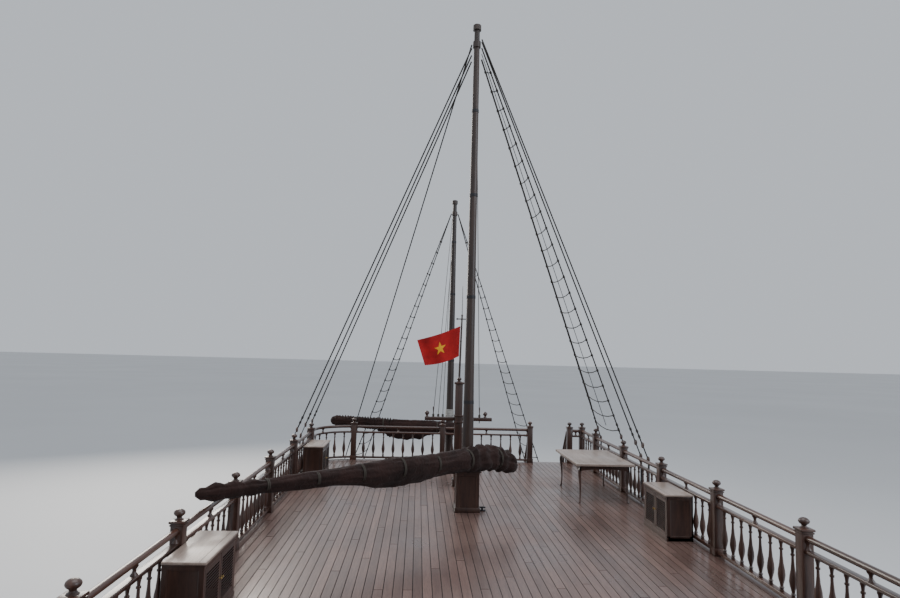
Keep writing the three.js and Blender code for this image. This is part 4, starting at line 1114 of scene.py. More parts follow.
def ladder_wires(legs):
    """The lines beside the rungs and up their middle."""
    (head_a, foot_a), (head_b, foot_b) = legs
    beside = (foot_a - foot_b) * 0.045
    knee = foot_b + beside + (head_b - foot_b) * 0.12
    lowest = (SUN_TOP + CLIMB_FROM - foot_a.z) / (head_a.z - foot_a.z)
    middle = (foot_a + foot_b) / 2 + (head_a - foot_a) * lowest
    return [bar(foot_b + (head_b - foot_b) * 0.05, knee, RUNG_R, sides=6),
            bar(knee, head_b + beside * 0.4, RUNG_R, sides=6),
            bar(middle, (head_a + head_b) / 2, WIRE_R, sides=6)]


def masthead(sign, spec):
    """The place where the shrouds of one side are held."""
    return Vector((sign * HEAD_X, spec["y"], spec["top"] - MAST_HOLD))


def cap_foot(sign, y):
    """The foot of a shroud that is held by the bulwark."""
    x, z = CAP_FEET[y]
    return Vector((sign * x, y, z))


# %% Rigging of both masts
for side, sign in SIDES:
    head, x, feet = masthead(sign, MAIN_MAST), sign * IRON_X, MAIN_FEET[side]
    parts, legs = [], []
    for y in feet:
        legs.append((head - UP * 0.13 * (y - 2), Vector((x, y, SUN_TOP + EYE_UP))))
        parts += shroud(*legs[-1]) + chain_iron(x, y, sign)
    parts.append(plank((x - 0.010, feet[0] - 0.06, SUN_TOP - 0.19),
                       (x + 0.010, feet[-1] + 0.06, SUN_TOP - 0.13), IRON, 0.003))
    if side == "port":
        parts += shroud(head, cap_foot(sign, 7.75))
    else:
        parts += rungs(legs[2:], SUN_TOP + CLIMB_FROM, 12.5) + ladder_wires(legs[2:])
    finish(f"main_rigging_{side}", parts, ROPE_DARK, replaces=[f"main_shrouds_{side}"])
    legs = [(masthead(sign, FORE_MAST), cap_foot(sign, y)) for y in (8.3, 9.5)]
    parts = shroud(*legs[0]) + shroud(*legs[1]) + rungs(legs, 3.3, 10.4)
    finish(f"fore_rigging_{side}", parts, ROPE_DARK, replaces=[f"fore_shrouds_{side}"])
scrap(deadeye)

# %% [markdown]
# ## Hull
# The hull is carvel-built: strakes run from the transom to the stem and grow narrower towards both
# ends. Every plank could be cut out, but from a few metres only the seams count. So a grid is bent to
# the hull's sections, and each point keeps the number of its strake, from which the finish draws
# seams, butts and a tone for every plank. The bulwark and the well are part of the same skin.

# %% Sections of the hull
# y: place along the ship; b: half-width at the deck; w: at the water; k: underside; s: top of the bulwark
STATIONS = [
    (-14.2, 3.00, 1.50, 0.52, 3.30), (-13.0, 3.30, 2.35, 0.17, 2.90), (-12.0, 3.45, 2.75, -0.09, 2.65),
    (-10.6, 3.60, 3.10, -0.52, 2.45), (-6.0, 3.68, 3.45, -1.05, 2.35), (-1.0, 3.72, 3.55, -1.15, 2.33),
    (4.0, 3.68, 3.40, -1.10, 2.37), (7.3, 3.54, 2.80, -0.85, 2.45), (9.5, 2.90, 1.80, -0.40, 2.55),
    (11.2, 1.95, 0.95, 0.20, 2.61), (12.4, 0.95, 0.38, 1.00, 2.635), (12.9, 0.30, 0.20, 1.50, 2.64),
]
BULWARK, FLAT = 0.08, 0.15
WALE_OUT, WALE_LOW, WALE_HIGH = 0.07, 1.35, 1.57
WELL_AFT, WELL_FORE, WELL_FLOOR = -14.07, 11.7, 1.54
STRAKES, BILGE_STEPS = 20, 5


def hull_at(y):
    """Half-widths, underside and sheer at any place along the ship."""
    i = next((i for i in range(1, len(STATIONS) - 1) if STATIONS[i][0] >= y), len(STATIONS) - 1)
    a, b = STATIONS[i - 1], STATIONS[i]
    before = STATIONS[i - 2] if i > 1 else a
    after = STATIONS[i + 1] if i + 1 < len(STATIONS) else b
    span = b[0] - a[0]
    t = min(1.0, max(0.0, (y - a[0]) / span))
    values = []
    for n in range(1, 5):
        rise = b[n] - a[n]
        start = rise if before is a else (b[n] - before[n]) / (b[0] - before[0]) * span
        end = rise if after is b else (after[n] - a[n]) / (after[0] - a[0]) * span
        bend, twist = 3 * rise - 2 * start - end, start + end - 2 * rise
        values.append(a[n] + t * start + t * t * bend + t ** 3 * twist)
    return values


# %% One section
def smooth_line(points, steps):
    """Points on a smooth curve through a few points of a section."""
    line = []
    for i in range(len(points) - 1):
        p0, p1, p2, p3 = (Vector(points[max(0, min(len(points) - 1, j))]) for j in (i - 1, i, i + 1, i + 2))
        for n in range(steps):
            t = n / steps
            line.append(0.5 * (2 * p1 + (p2 - p0) * t + (2 * p0 - 5 * p1 + 4 * p2 - p3) * t * t
                               + (3 * p1 - p0 - 3 * p2 + p3) * t ** 3))
    return line + [Vector(points[-1])]


def half_section(y):
    """Points (x, z) from the keel up to the bulwark's top, each with the number of its strake."""
    b, w, k, s = hull_at(y)
    low = max(k, 0)
    bilge = smooth_line([(FLAT, k), (max(0.16, w * 0.6), k + 0.18),
                         (max(0.17, w * 0.93), k + (low - k) * 0.55 + 0.28),
                         (max(0.18, w * 1.02), low + 0.42), (b, max(low + 0.8, WALE_LOW))], BILGE_STEPS)
    lengths = [0.0]
    for p, q in zip(bilge, bilge[1:]):
        lengths.append(lengths[-1] + (q - p).length)
    line = [(p.x, p.y, max(0.3, STRAKES * d / lengths[-1])) for p, d in zip(bilge, lengths)]
    out, top = b + WALE_OUT, max(low + 0.96, WALE_HIGH)
    line += [(out, max(low + 0.83, WALE_LOW + 0.04), STRAKES + 0.5),
             (out, max(low + 0.93, WALE_HIGH - 0.04), STRAKES + 0.5), (b, top, STRAKES + 1)]
    rise = s - top
    line += [(b, top + rise * share, STRAKES + 1 + 4 * share) for share in (0.25, 0.5, 0.75, 1.0)]
    return line


# %% A skin over sections
def places(first, last, count):
    """Evenly spaced places along the ship."""
    return [first + (last - first) * i / count for i in range(count + 1)]


def skin(name, rings, values=None):
    """A closed skin over rings of (x, y, z) points, made from a grid."""
    around, along = len(rings[0]), len(rings)
    bpy.ops.mesh.primitive_grid_add(x_subdivisions=around, y_subdivisions=along - 1, size=1)
    piece = bpy.context.object
    piece.name = name
    mark = piece.data.attributes.new("strake", "FLOAT", "POINT")
    for row, ring in enumerate(rings):
        for column in range(around + 1):
            index = row * (around + 1) + column
            piece.data.vertices[index].co = ring[column % around]
            if values:
                mark.data[index].value = values[row][column % around]
    edit(piece)
    bpy.ops.mesh.remove_doubles(threshold=0.0002)
    bpy.ops.mesh.select_all(action="DESELECT")
    bpy.ops.mesh.select_non_manifold(extend=False, use_wire=False, use_multi_face=False,
                                     use_non_contiguous=False, use_verts=False)
    bpy.ops.mesh.edge_face_add()
    done()
    return piece


def strake_of(piece, height=None):
    """Number the strakes of a part that isn't skin: by height, or all as one plank."""
    mark = piece.data.attributes.new("strake", "FLOAT", "POINT")
    for item, vertex in zip(mark.data, piece.data.vertices):
        item.value = vertex.co.z / height if height else 0.5
    return piece


# %% Planked paint
PLANK_LENGTH, PAINT_TOP = 4.6, 0.13


def planked_paint(name, stretch):
    """Varnished strakes above the water and red paint below, with seams."""
    material, tree, shader = graph(name)
    place, grain = place_in(tree), place_in(tree, stretch)
    spot = put(tree, "ShaderNodeSeparateXYZ", {"Vector": place})
    strake = put(tree, "ShaderNodeAttribute", attribute_name="strake").outputs["Fac"]
    row, across = reckon(tree, "FLOOR", strake), reckon(tree, "FRACT", strake)
    shift = put(tree, "ShaderNodeTexWhiteNoise", {"W": row}, noise_dimensions="1D").outputs[0]
    plank = reckon(tree, "ADD", reckon(tree, "MULTIPLY", spot.outputs["Y"], 1 / PLANK_LENGTH), shift)
    key = put(tree, "ShaderNodeCombineXYZ", {0: row, 1: reckon(tree, "FLOOR", plank)}).outputs[0]
    each = put(tree, "ShaderNodeTexWhiteNoise", {"Vector": key}, noise_dimensions="3D").outputs[0]
    wide, wear = cloud(tree, grain, 1.8, 6, Distortion=0.8), cloud(tree, place, 0.7, 6)
    side = ramp(tree, across, [(0.0, 0.0), (0.035, 1.0), (0.965, 1.0), (1.0, 0.0)])
    end = ramp(tree, reckon(tree, "FRACT", plank), [(0.0, 0.0), (0.0022, 1.0), (0.9978, 1.0), (1.0, 0.0)])
    seam = mix(tree, 1.0, side, end, "MULTIPLY")
    tone = ramp(tree, wide, [(0.3, (0.058, 0.024, 0.013)), (0.7, (0.140, 0.062, 0.034))])
    tone = shade(tree, tone, each, [(0.0, 0.72), (1.0, 1.22)])
    red = ramp(tree, wear, [(0.3, (0.110, 0.020, 0.014)), (0.7, (0.200, 0.045, 0.030))])
    above = put(tree, "ShaderNodeMapRange", {0: spot.outputs["Z"], 1: PAINT_TOP, 2: PAINT_TOP + 0.01})
    tone = shade(tree, mix(tree, above.outputs[0], red, tone), wear, [(0.3, 0.78), (0.7, 1.1)])
    tone = shade(tree, tone, seam, [(0.0, 0.28), (0.8, 1.0)])
    wire(tree, shader, {"Base Color": tone, "Roughness": ramp(tree, wear, [(0.3, 0.34), (0.75, 0.58)]),
                        "Normal": bump(tree, wide, 0.003, 0.5, bump(tree, seam, 0.012, 0.8)),
                        "Coat Weight": 0.15, "Coat Roughness": 0.25})
    return material


HULL_PLANKS = planked_paint("hull_planks", (7, 0.6, 7))
TRANSOM_PLANKS = planked_paint("transom_planks", (0.6, 7, 7))

# %% Hull skin
hull_places = sorted([*places(-14.2, 12.9, 92), WELL_AFT, WELL_AFT + 0.002, WELL_FORE, WELL_FORE + 0.002])
rings, numbers = [], []
for y in hull_places:
    side = half_section(y)
    b, _, _, s = hull_at(y)
    inside = b - BULWARK
    floor_z = WELL_FLOOR if WELL_AFT < y <= WELL_FORE else s - 0.002
    top, deep = STRAKES + 5.5, STRAKES + (9.5 if WELL_AFT < y <= WELL_FORE else 5.5)
    inner = [(inside, s, top), (inside, floor_z, deep), (-inside, floor_z, deep), (-inside, s, top)]
    loop = [*side, *inner, *[(-x, z, n) for x, z, n in reversed(side)]]
    rings.append([(x, y, z) for x, z, _ in loop])
    numbers.append([n for _, _, n in loop])
hull_skin = skin("hull_skin", rings, numbers)
boss = strake_of(turned([(-0.06, 0.13), (-0.05, 0.15), (0.45, 0.16)], 20, at=(0, -12.5, 0)))

# The transom is planked across, so its strakes are counted by height
TRANSOM, TRANSOM_PLANK = -14.2, 0.19
right = [(x, z) for x, z, _ in half_section(TRANSOM)]
outline = [*right, *[(-x, z) for x, z in reversed(right)]]
transom = sawn([(x, TRANSOM + 0.002, z) for x, z in outline], (0, -0.035, 0))
paint(strake_of(transom, TRANSOM_PLANK), TRANSOM_PLANKS)
wale = plank((-3.06, TRANSOM - 0.085, 1.36), (3.06, TRANSOM, 1.56), TRIM_WOOD, 0.02)
finish("hull_planked", [hull_skin, boss, transom, wale], HULL_PLANKS, replaces=["hull"],
       smooth=40)


# %% Keel and stem
def side_shape(outline, half):
    """A flat body sawn to an outline of (y, z) points that is seen from the side."""
    return sawn([(-half, y, z) for y, z in outline], (2 * half, 0, 0))


KEEL_HALF, KEEL_UNDER, HEEL_TOP = 0.12, -1.40, -1.30
STEM = [(7.6, KEEL_UNDER), (9.6, -0.90), (11.3, -0.06), (12.5, 0.82), (13.0, 1.50), (13.18, 2.30),
        (13.20, 2.64)]
under = [(y, hull_at(y)[2] - 0.0003) for y in places(12.88, -11.0, 60)]
stem_line = [(p.x, max(p.y, KEEL_UNDER)) for p in smooth_line([(4.0, KEEL_UNDER), *STEM], 6)]
keel_line = [(-11.0, under[-1][1]), (-11.0, HEEL_TOP), (-12.7, HEEL_TOP), (-12.7, KEEL_UNDER), *stem_line,
             (12.9003, 2.64), *under]
keel = strake_of(side_shape(keel_line, KEEL_HALF))
finish("keel_and_stem", [keel], HULL_PLANKS, replaces=["keel"], ease=0.02, smooth=40)

# %% Cap rails
for side, sign in SIDES:
    rings = []
    for y in places(-14.2, 12.38, 90):
        b, _, _, s = hull_at(y)
        inner, outer, low, high, cut = b - 0.12, b + 0.05, s + 0.0003, s + 0.06, 0.014
        outline = [(inner, low), (outer, low), (outer + 0.004, low + cut), (outer + 0.004, high - cut),
                   (outer - cut, high), (inner + cut, high), (inner, high - cut)]
        rings.append([(sign * x, y, z) for x, z in outline])
    finish(f"cap_rail_{side}_moulded", [skin("cap", rings)], RAIL_LONG,
           replaces=[f"cap_rail_{side}"], smooth=50)

# %% [markdown]
# ## Foredeck and raised deck
# The two other decks are laid like the sun deck, but their sides curve. A boolean could cut the curve,
# but both outlines bulge outwards all round, so a plane through each pair of stations trims exactly.

# %% Boards trimmed to a bulging outline
def trim_to(piece, line):
    """Trim to both sides of an outline given by its starboard points, in order of y."""
    for (xa, ya), (xb, yb) in zip(line, line[1:]):
        out = Vector((yb - ya, xa - xb, 0)).normalized()
        if yb > ya:
            for sign in (-1, 1):
                trim(piece, (sign * xa, ya, 0), (sign * out.x, out.y, 0))


def bed(line, low, high):
    """The dark caulking under the boards: a slab with the same outline."""
    outline = [*line, *[(-x, y) for x, y in reversed(line)]]
    return sawn([(x, y, low) for x, y in outline], (0, 0, high - low))


WIDE_BOARD = 0.14


def straightened(line):
    """Drop the points that lie inside their neighbours' chord."""
    kept = [line[0]]
    for i in range(1, len(line) - 1):
        (xa, ya), (x, y), (xb, yb) = kept[-1], line[i], line[i + 1]
        if x >= xa + (xb - xa) * (y - ya) / (yb - ya):
            kept.append((x, y))
    return kept + [line[-1]]


deck_places = places(WELL_AFT + 0.001, WELL_FORE - 0.001, 14)
main_line = straightened([(hull_at(y)[0] - BULWARK - 0.004, y) for y in deck_places])
main_boards = planking((-3.66, main_line[0][1]), (3.66, main_line[-1][1]), MAIN_TOP, width=WIDE_BOARD,
                       length=4.2, seed=4)
trim_to(main_boards, main_line)
BITT_X, BITT_Y, BITT_APART, BITT_WIDE, BITT_TOP = 1.5, 9.7, 0.17, 0.13, MAIN_TOP + 0.48
bitts = []
for x in (-BITT_X, BITT_X):
    for y in (BITT_Y - BITT_APART, BITT_Y + BITT_APART):
        head = easy(about(x, y, MAIN_TOP - 0.02, BITT_TOP, BITT_WIDE), 0.016)
        band = easy(about(x, y, BITT_TOP - 0.04, BITT_TOP - 0.015, BITT_WIDE + 0.02), 0.006)
        bitts += [paint(head, TRIM_WOOD), paint(band, BRONZE)]
    bitts.append(plank((x - 0.045, BITT_Y - 0.33, BITT_TOP - 0.18),
                       (x + 0.045, BITT_Y + 0.33, BITT_TOP - 0.09), TRIM_WOOD, 0.014))
caulk = paint(bed(main_line, MAIN_TOP - 0.04, MAIN_TOP - RAISED), CAULK)
finish("main_deck_boards", [main_boards, caulk, *bitts], DECK_WOOD, replaces=["main_deck"])

# %% Raised deck
POOP_LINE = [(2.86, -14.48), (3.22, -13.0), (3.37, -12.0), (3.52, -10.56)]
poop_boards = planking((-3.54, -14.40), (3.54, -10.64), POOP_TOP, seed=7)
inner_line = [(x - 0.10, y) for x, y in POOP_LINE]
trim_to(poop_boards, inner_line)
slab = paint(bed(POOP_LINE, POOP_TOP - 0.08, POOP_TOP - RAISED), TRIM_WOOD)
edge = []
for (xa, ya), (xb, yb) in zip(POOP_LINE, POOP_LINE[1:]):
    for sign in (-1, 1):
        strip = board((0, -0.05, POOP_TOP - RAISED), (math.hypot(xb - xa, yb - ya), 0.05, POOP_TOP))
        edge.append(placed(strip, (sign * (xa - 0.05), ya, 0), math.atan2(yb - ya, sign * (xb - xa))))
edge += [board((-3.50, -10.64, POOP_TOP - RAISED), (3.50, -10.56, POOP_TOP)),
         board((-2.86, -14.48, POOP_TOP - RAISED), (2.86, -14.40, POOP_TOP))]
nosing = [plank((-3.52, -10.575, POOP_TOP - 0.10), (3.52, -10.545, POOP_TOP - 0.01), TRIM_WOOD),
          plank((-2.86, -14.50, POOP_TOP - 0.10), (2.86, -14.47, POOP_TOP - 0.01), TRIM_WOOD)]
finish("poop_deck_boards", [poop_boards, slab, *edge, *nosing], DECK_WOOD,
       replaces=["poop_deck"])

# %% [markdown]
# ## Table
# A long dining table with a pale, polished top, a shaped apron and slender curved legs stands to
# starboard. A leg could be a swept curve, but a small square drawn down through a few places keeps its
# square section, and one level of subdivision rounds it as a spokeshave would.

# %% A leg drawn through stations
def drawn(stations, levels=1):
    """A square drawn through (x, y, z, half-width) stations and then smoothed."""
    x, y, z, half = stations[0]
    bpy.ops.mesh.primitive_plane_add(size=2 * half, location=(x, y, z))
    piece = bpy.context.object
    bpy.ops.object.transform_apply()
    edit(piece)
    for nx, ny, nz, wide in stations[1:]:
        draw_out(nx - x, ny - y, nz - z)
        bpy.ops.transform.resize(value=(wide / half, wide / half, 1), center_override=(nx, ny, nz))
        x, y, z, half = nx, ny, nz, wide
    mode("OBJECT")
    pick(piece, lambda place, way: abs(way.z) > 0.99 and abs(place.z - stations[0][2]) < 1e-4)
    done()
    return apply(piece, "SUBSURF", levels=levels, render_levels=levels)


# %% Table
TABLE_X0, TABLE_X1, TABLE_Y0, TABLE_Y1 = 2.22, 3.40, 0.91, 2.82
TABLE_TOP, TABLE_UNDER, APRON_LOW = SUN_TOP + 0.79, SUN_TOP + 0.745, SUN_TOP + 0.63
BORDER, JOINT, APRON_THICK, ARCH = 0.098, 0.0015, 0.022, 0.045
# (outward reach, height, half-width) of the curved leg
CABRIOLE = [(0.010, 0.0, 0.026), (0.012, 0.020, 0.028), (0.000, 0.050, 0.017), (-0.006, 0.16, 0.015),
            (-0.004, 0.34, 0.019), (0.008, 0.48, 0.027), (0.016, 0.57, 0.036), (0.012, 0.64, 0.037),
            (0.0, 0.70, 0.034)]


def shaped_apron(low, high, arch):
    """A board whose lower edge rises in a shallow curve between the legs."""
    piece = board(low, high)
    axis = 0 if high[0] - low[0] > high[1] - low[1] else 1
    cut_up(piece, axis, 16)
    for vertex in piece.data.vertices:
        if vertex.co.z < low[2] + 0.001:
            t = (vertex.co[axis] - low[axis]) / (high[axis] - low[axis])
            vertex.co.z += arch * max(0.0, math.sin(math.pi * t)) ** 0.6
    return piece


def inside(inset):
    """The table's four sides, moved in by an inset."""
    return TABLE_X0 + inset, TABLE_X1 - inset, TABLE_Y0 + inset, TABLE_Y1 - inset


xa, xb, ya, yb = inside(0.10)
parts = [plank((xa, ya, TABLE_TOP - 0.01), (xb, yb, TABLE_TOP), PALE_WOOD, 0.002)]
xa, xb, ya, yb = inside(0)
short = BORDER + JOINT
for low, high in (((xa, ya), (xb, ya + BORDER)), ((xa, yb - BORDER), (xb, yb)),
                  ((xa, ya + short), (xa + BORDER, yb - short)),
                  ((xb - BORDER, ya + short), (xb, yb - short))):
    parts.append(plank((*low, TABLE_UNDER), (*high, TABLE_TOP), PALE_WOOD, 0.006, 3))
xa, xb, ya, yb = inside(0.05)
parts.append(paint(board((xa, ya, TABLE_UNDER + 0.004), (xb, yb, TABLE_TOP - 0.008)), CAULK))
xa, xb, ya, yb = inside(0.09)
for x in (xa, xb - APRON_THICK):
    parts.append(shaped_apron((x, ya, APRON_LOW), (x + APRON_THICK, yb, TABLE_UNDER + 0.002), ARCH))
for y in (ya, yb - APRON_THICK):
    parts.append(shaped_apron((xa, y, APRON_LOW), (xb, y + APRON_THICK, TABLE_UNDER + 0.002), ARCH))
for sx, x in ((-1, TABLE_X0 + 0.11), (1, TABLE_X1 - 0.11)):
    for sy, y in ((-1, TABLE_Y0 + 0.15), (1, TABLE_Y1 - 0.15)):
        line = [(x + sx * reach, y + sy * reach, SUN_TOP + z, half) for reach, z, half in CABRIOLE]
        parts.append(drawn(line))
finish("table_joined", parts, RAIL_DARK, replaces=["table"])

# %% [markdown]
# ## Lockers
# Three low lockers for lines and cushions stand along the rails: framed boxes with sunk panels, a pale
# lid and two slatted doors, each on its own hinge. The slats could be painted on, but real ones catch
# the light, so one is made and repeated by an array.

# %% Cases and lids
LOCKER = dict(outboard=3.51, depth=0.43, height=0.73, wall=0.025, plinth=0.08, head=0.08)
# name: (side, aft end, length)
LOCKERS = {"locker_port_aft": (-1, -4.85, 1.10), "locker_port_fore": (-1, 2.97, 1.05),
           "locker_starboard": (1, -1.45, 1.00)}
SLATS, SLAT_TILT = 15, math.radians(38)


def between(sign, xa, xb, ya, yb, za, zb):
    """A board given by distances from the centreline on one side of the ship."""
    low, high = sorted((sign * xa, sign * xb))
    return board((low, ya, za), (high, yb, zb))


def locker_case(name, sign, y, length):
    """The open case: ends, back, floor, head rail, plinth and lid."""
    out, inn = LOCKER["outboard"], LOCKER["outboard"] - LOCKER["depth"]
    low, high = SUN_TOP, SUN_TOP + LOCKER["height"]
    floor_z, lintel, wall = low + LOCKER["plinth"], high - LOCKER["head"], LOCKER["wall"]
    parts = []
    for ya in (y, y + length - wall):
        board_end = between(sign, inn, out, ya, ya + wall, low, high - 0.03)
        outer = -1 if ya == y else 1
        pick(board_end, lambda place, way, outer=outer: way.y * outer > 0.9)
        sink(0.055, 0.008)
        done()
        parts.append(board_end)
    parts.append(between(sign, out - wall, out, y, y + length, low, high - 0.03))
    parts.append(between(sign, inn, out, y, y + length, low + 0.002, floor_z))
    parts.append(between(sign, inn, inn + wall, y, y + length, lintel, high - 0.03))
    parts.append(between(sign, inn - 0.008, inn + 0.02, y - 0.006, y + length + 0.006, low, low + 0.055))
    parts = [easy(part, 0.003, 1) for part in parts]
    end = y + length
    lid = easy(between(sign, inn - 0.020, out + 0.005, y - 0.015, end + 0.015, high - 0.03, high), 0.008, 3)
    lid_line = between(sign, inn + 0.055, inn + 0.060, y - 0.005, end + 0.005, high - 0.002, high + 0.0006)
    bead = easy(between(sign, inn - 0.012, out, y - 0.010, end + 0.010, high - 0.042, high - 0.029), 0.005, 2)
    parts += [paint(lid, PALE_WOOD), paint(lid_line, CAULK), bead]
    finish(f"{name}_case", parts, RAIL_DARK, replaces=[name])


# %% Slatted doors
def slatted_door(node, sign, knob_aft):
    """A framed door with slanted slats and a brass knob."""
    (x0, ya, za), (x1, yb, zb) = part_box(node)
    face, mid, stile = x0 if sign > 0 else x1, (x0 + x1) / 2, 0.050
    parts = [board((x0, a, za), (x1, b, zb)) for a, b in ((ya, ya + stile), (yb - stile, yb))]
    for low, high in ((za, za + stile), (zb - stile, zb)):
        parts.append(board((x0, ya + stile, low), (x1, yb - stile, high)))
    parts = [easy(part, 0.003, 1) for part in parts]
    step = (zb - za - 2 * stile) / SLATS
    high = step * 0.72
    slat = board((-0.0035, ya + stile - 0.004, -high), (0.0035, yb - stile + 0.004, high))
    placed(easy(slat, 0.0015, 1), (mid, 0, za + stile + step / 2), -sign * SLAT_TILT, "Y")
    only(slat)
    bpy.ops.object.transform_apply()
    parts.append(apply(slat, "ARRAY", count=SLATS, use_relative_offset=False, use_constant_offset=True,
                       constant_offset_displace=(0, 0, step)))
    y = ya + 0.022 if knob_aft else yb - 0.022
    knob = turned([(0, 0.007), (0.010, 0.006), (0.016, 0.013), (0.024, 0.014), (0.030, 0.008)], 14)
    placed(knob, (face, y, (za + zb) / 2 + 0.03), -sign * math.pi / 2, "Y")
    parts.append(paint(knob, BRASS))
    finish(f"{node}_slats", parts, RAIL_DARK, body=node, replaces=[node])


for name, (sign, y, length) in LOCKERS.items():
    locker_case(name, sign, y, length)
    for hand in ("aft", "fore"):
        slatted_door(f"{name}_door_{hand}", sign, knob_aft=hand == "fore")

# %% [markdown]
# ## Flag post, staff and flag
# Near the centreline a square post carries a crossbeam for belaying lines, and a thin staff with the
# flag, one sheet of bunting: a grid between four corners, rippled along the fly and given a thin
# thickness. An image could carry its star, but the finish draws it from the sheet's own UV map, sharp
# at any size and on the cloth wherever the ripples go.

# %% Post, beam and pins
POST_X, POST_Y, POST_SIZE, POST_HEAD = -0.05, 2.5, 0.17, 6.175
BEAM_LOW, BEAM_HIGH, BEAM_HALF = 5.32, 5.40, 0.75
# (height, radius) of what is turned for the post
KNOB = [(0.0, 0.062), (0.012, 0.060), (0.022, 0.034), (0.034, 0.030), (0.050, 0.046), (0.070, 0.056),
        (0.090, 0.048), (0.106, 0.026), (0.115, 0.006)]
PIN = [(-0.13, 0.009), (-0.005, 0.011), (0.0, 0.020), (0.012, 0.020), (0.020, 0.013), (0.10, 0.010),
       (0.19, 0.017), (0.215, 0.015), (0.23, 0.004)]
MUSHROOM = [(-0.005, 0.034), (0.012, 0.032), (0.030, 0.022), (0.048, 0.036), (0.072, 0.052), (0.096, 0.049),
            (0.115, 0.032), (0.13, 0.006)]
column = easy(about(POST_X, POST_Y, SUN_TOP, POST_HEAD - 0.035, POST_SIZE), 0.014)
parts = [column, easy(about(POST_X, POST_Y, POST_HEAD - 0.045, POST_HEAD, POST_SIZE + 0.045), 0.010),
         easy(about(POST_X, POST_Y, SUN_TOP, SUN_TOP + 0.16, POST_SIZE + 0.05), 0.010),
         turned([(z + POST_HEAD - 0.002, r) for z, r in KNOB], 20, at=(POST_X, POST_Y, 0))]
parts.append(plank((POST_X - BEAM_HALF, POST_Y - 0.045, BEAM_LOW),
                   (POST_X + BEAM_HALF, POST_Y + 0.045, BEAM_HIGH), RAIL_CROSS, 0.014, 3))
for z in (BEAM_LOW - 0.03, BEAM_HIGH + 0.03):
    parts.append(easy(about(POST_X, POST_Y, z - 0.02, z + 0.02, POST_SIZE + 0.03), 0.006))
for profile, sides, places_x in ((MUSHROOM, 18, (-0.75, 0.55)), (PIN, 12, (-0.61, 0.42))):
    raised = [(z + BEAM_HIGH, r) for z, r in profile]
    parts += [turned(raised, sides, at=(x, POST_Y, 0)) for x in places_x]
finish("flag_post_joined", parts, RAIL_DARK, replaces=["flag_post"])

# %% Halyards made fast to the beam
# x: place on the beam; then the head of the line
HALYARDS = [(-0.61, (-0.07, 7.1, 10.9)), (-0.50, (-0.07, 7.1, 9.6)), (-0.40, (-0.07, 7.1, 10.2)),
            (0.42, (0.06, 0.5, 11.0))]
lines = []
for x, head in HALYARDS:
    lines.append(bar((x, POST_Y, BEAM_HIGH + 0.03), head, WIRE_R, sides=6))
    lines += [hoop((x, POST_Y, BEAM_HIGH + 0.012 + 0.013 * turn), 0.020, WIRE_R) for turn in range(4)]
finish("halyards", lines, ROPE_LINE)

# %% Staff
STAFF_FOOT, STAFF_TOP, TOP_X, AERIAL_TOP = 6.2903, 7.66, -0.02, 8.34
TRUCK = [(-0.002, 0.018), (0.012, 0.026), (0.03, 0.018), (0.038, 0.006)]
ARM_END = [(-0.02, 0.010), (-0.012, 0.018), (0.012, 0.018), (0.02, 0.010)]
ARM_ENDS, ARM_Z = (-0.13, 0.09), STAFF_TOP - 0.07
staff = [bar((POST_X, POST_Y, STAFF_FOOT), (TOP_X, POST_Y, STAFF_TOP), 0.024, 0.018, 20),
         bar((ARM_ENDS[0], POST_Y, ARM_Z), (ARM_ENDS[1], POST_Y, ARM_Z), 0.012, sides=10),
         bar((TOP_X, POST_Y, STAFF_TOP - 0.01), (TOP_X, POST_Y, AERIAL_TOP), 0.008, 0.005, 8),
         turned([(STAFF_TOP + z, r) for z, r in TRUCK], 14, at=(TOP_X, POST_Y, 0))]
staff += [turned(ARM_END, 12, at=(x, POST_Y, ARM_Z)) for x in ARM_ENDS]
finish("flag_staff_turned", staff, MAST_DARK, replaces=["flag_staff"])


# %% Bunting
def bunting():
    """Red bunting that lets light through, with a yellow star."""
    material, tree, shader = graph("flag_bunting")
    uv = put(tree, "ShaderNodeTexCoord").outputs["UV"]
    centred = {"Vector": uv, "Location": (-0.75, -0.5, 0), "Scale": (1.5, 1.0, 1)}
    middle = put(tree, "ShaderNodeMapping", centred).outputs[0]
    spot = put(tree, "ShaderNodeSeparateXYZ", {"Vector": middle})
    reach = put(tree, "ShaderNodeVectorMath", {0: middle}, operation="LENGTH").outputs["Value"]
    angle = reckon(tree, "ARCTAN2", spot.outputs["X"], spot.outputs["Y"])
    folded = reckon(tree, "PINGPONG", angle, math.pi / 5)
    slope = 0.3249      # of a five-pointed star's edge, against the line to its point
    edge = reckon(tree, "MULTIPLY_ADD", reckon(tree, "COSINE", folded), slope, reckon(tree, "SINE", folded))
    star = reckon(tree, "LESS_THAN", reckon(tree, "MULTIPLY", edge, reach), slope * 0.235)
    place = place_in(tree)
    red = ramp(tree, cloud(tree, place, 5, 5), [(0.3, (0.40, 0.012, 0.014)), (0.7, (0.60, 0.022, 0.022))])
    tone = mix(tree, star, red, (0.85, 0.52, 0.03))
    weave = mix(tree, 0.5, *(wave(tree, place, 130, 0.6, way) for way in "XZ"))
    wire(tree, shader, {"Base Color": tone, "Normal": bump(tree, weave, 0.0006), "Roughness": 0.8,
                        "Sheen Weight": 0.2})
    light = put(tree, "ShaderNodeBsdfTranslucent", {"Color": tone})
    both = put(tree, "ShaderNodeMixShader", {0: 0.45, 1: shader.outputs[0], 2: light.outputs[0]})
    tree.links.new(both.outputs[0], tree.nodes["Material Output"].inputs["Surface"])
    return material


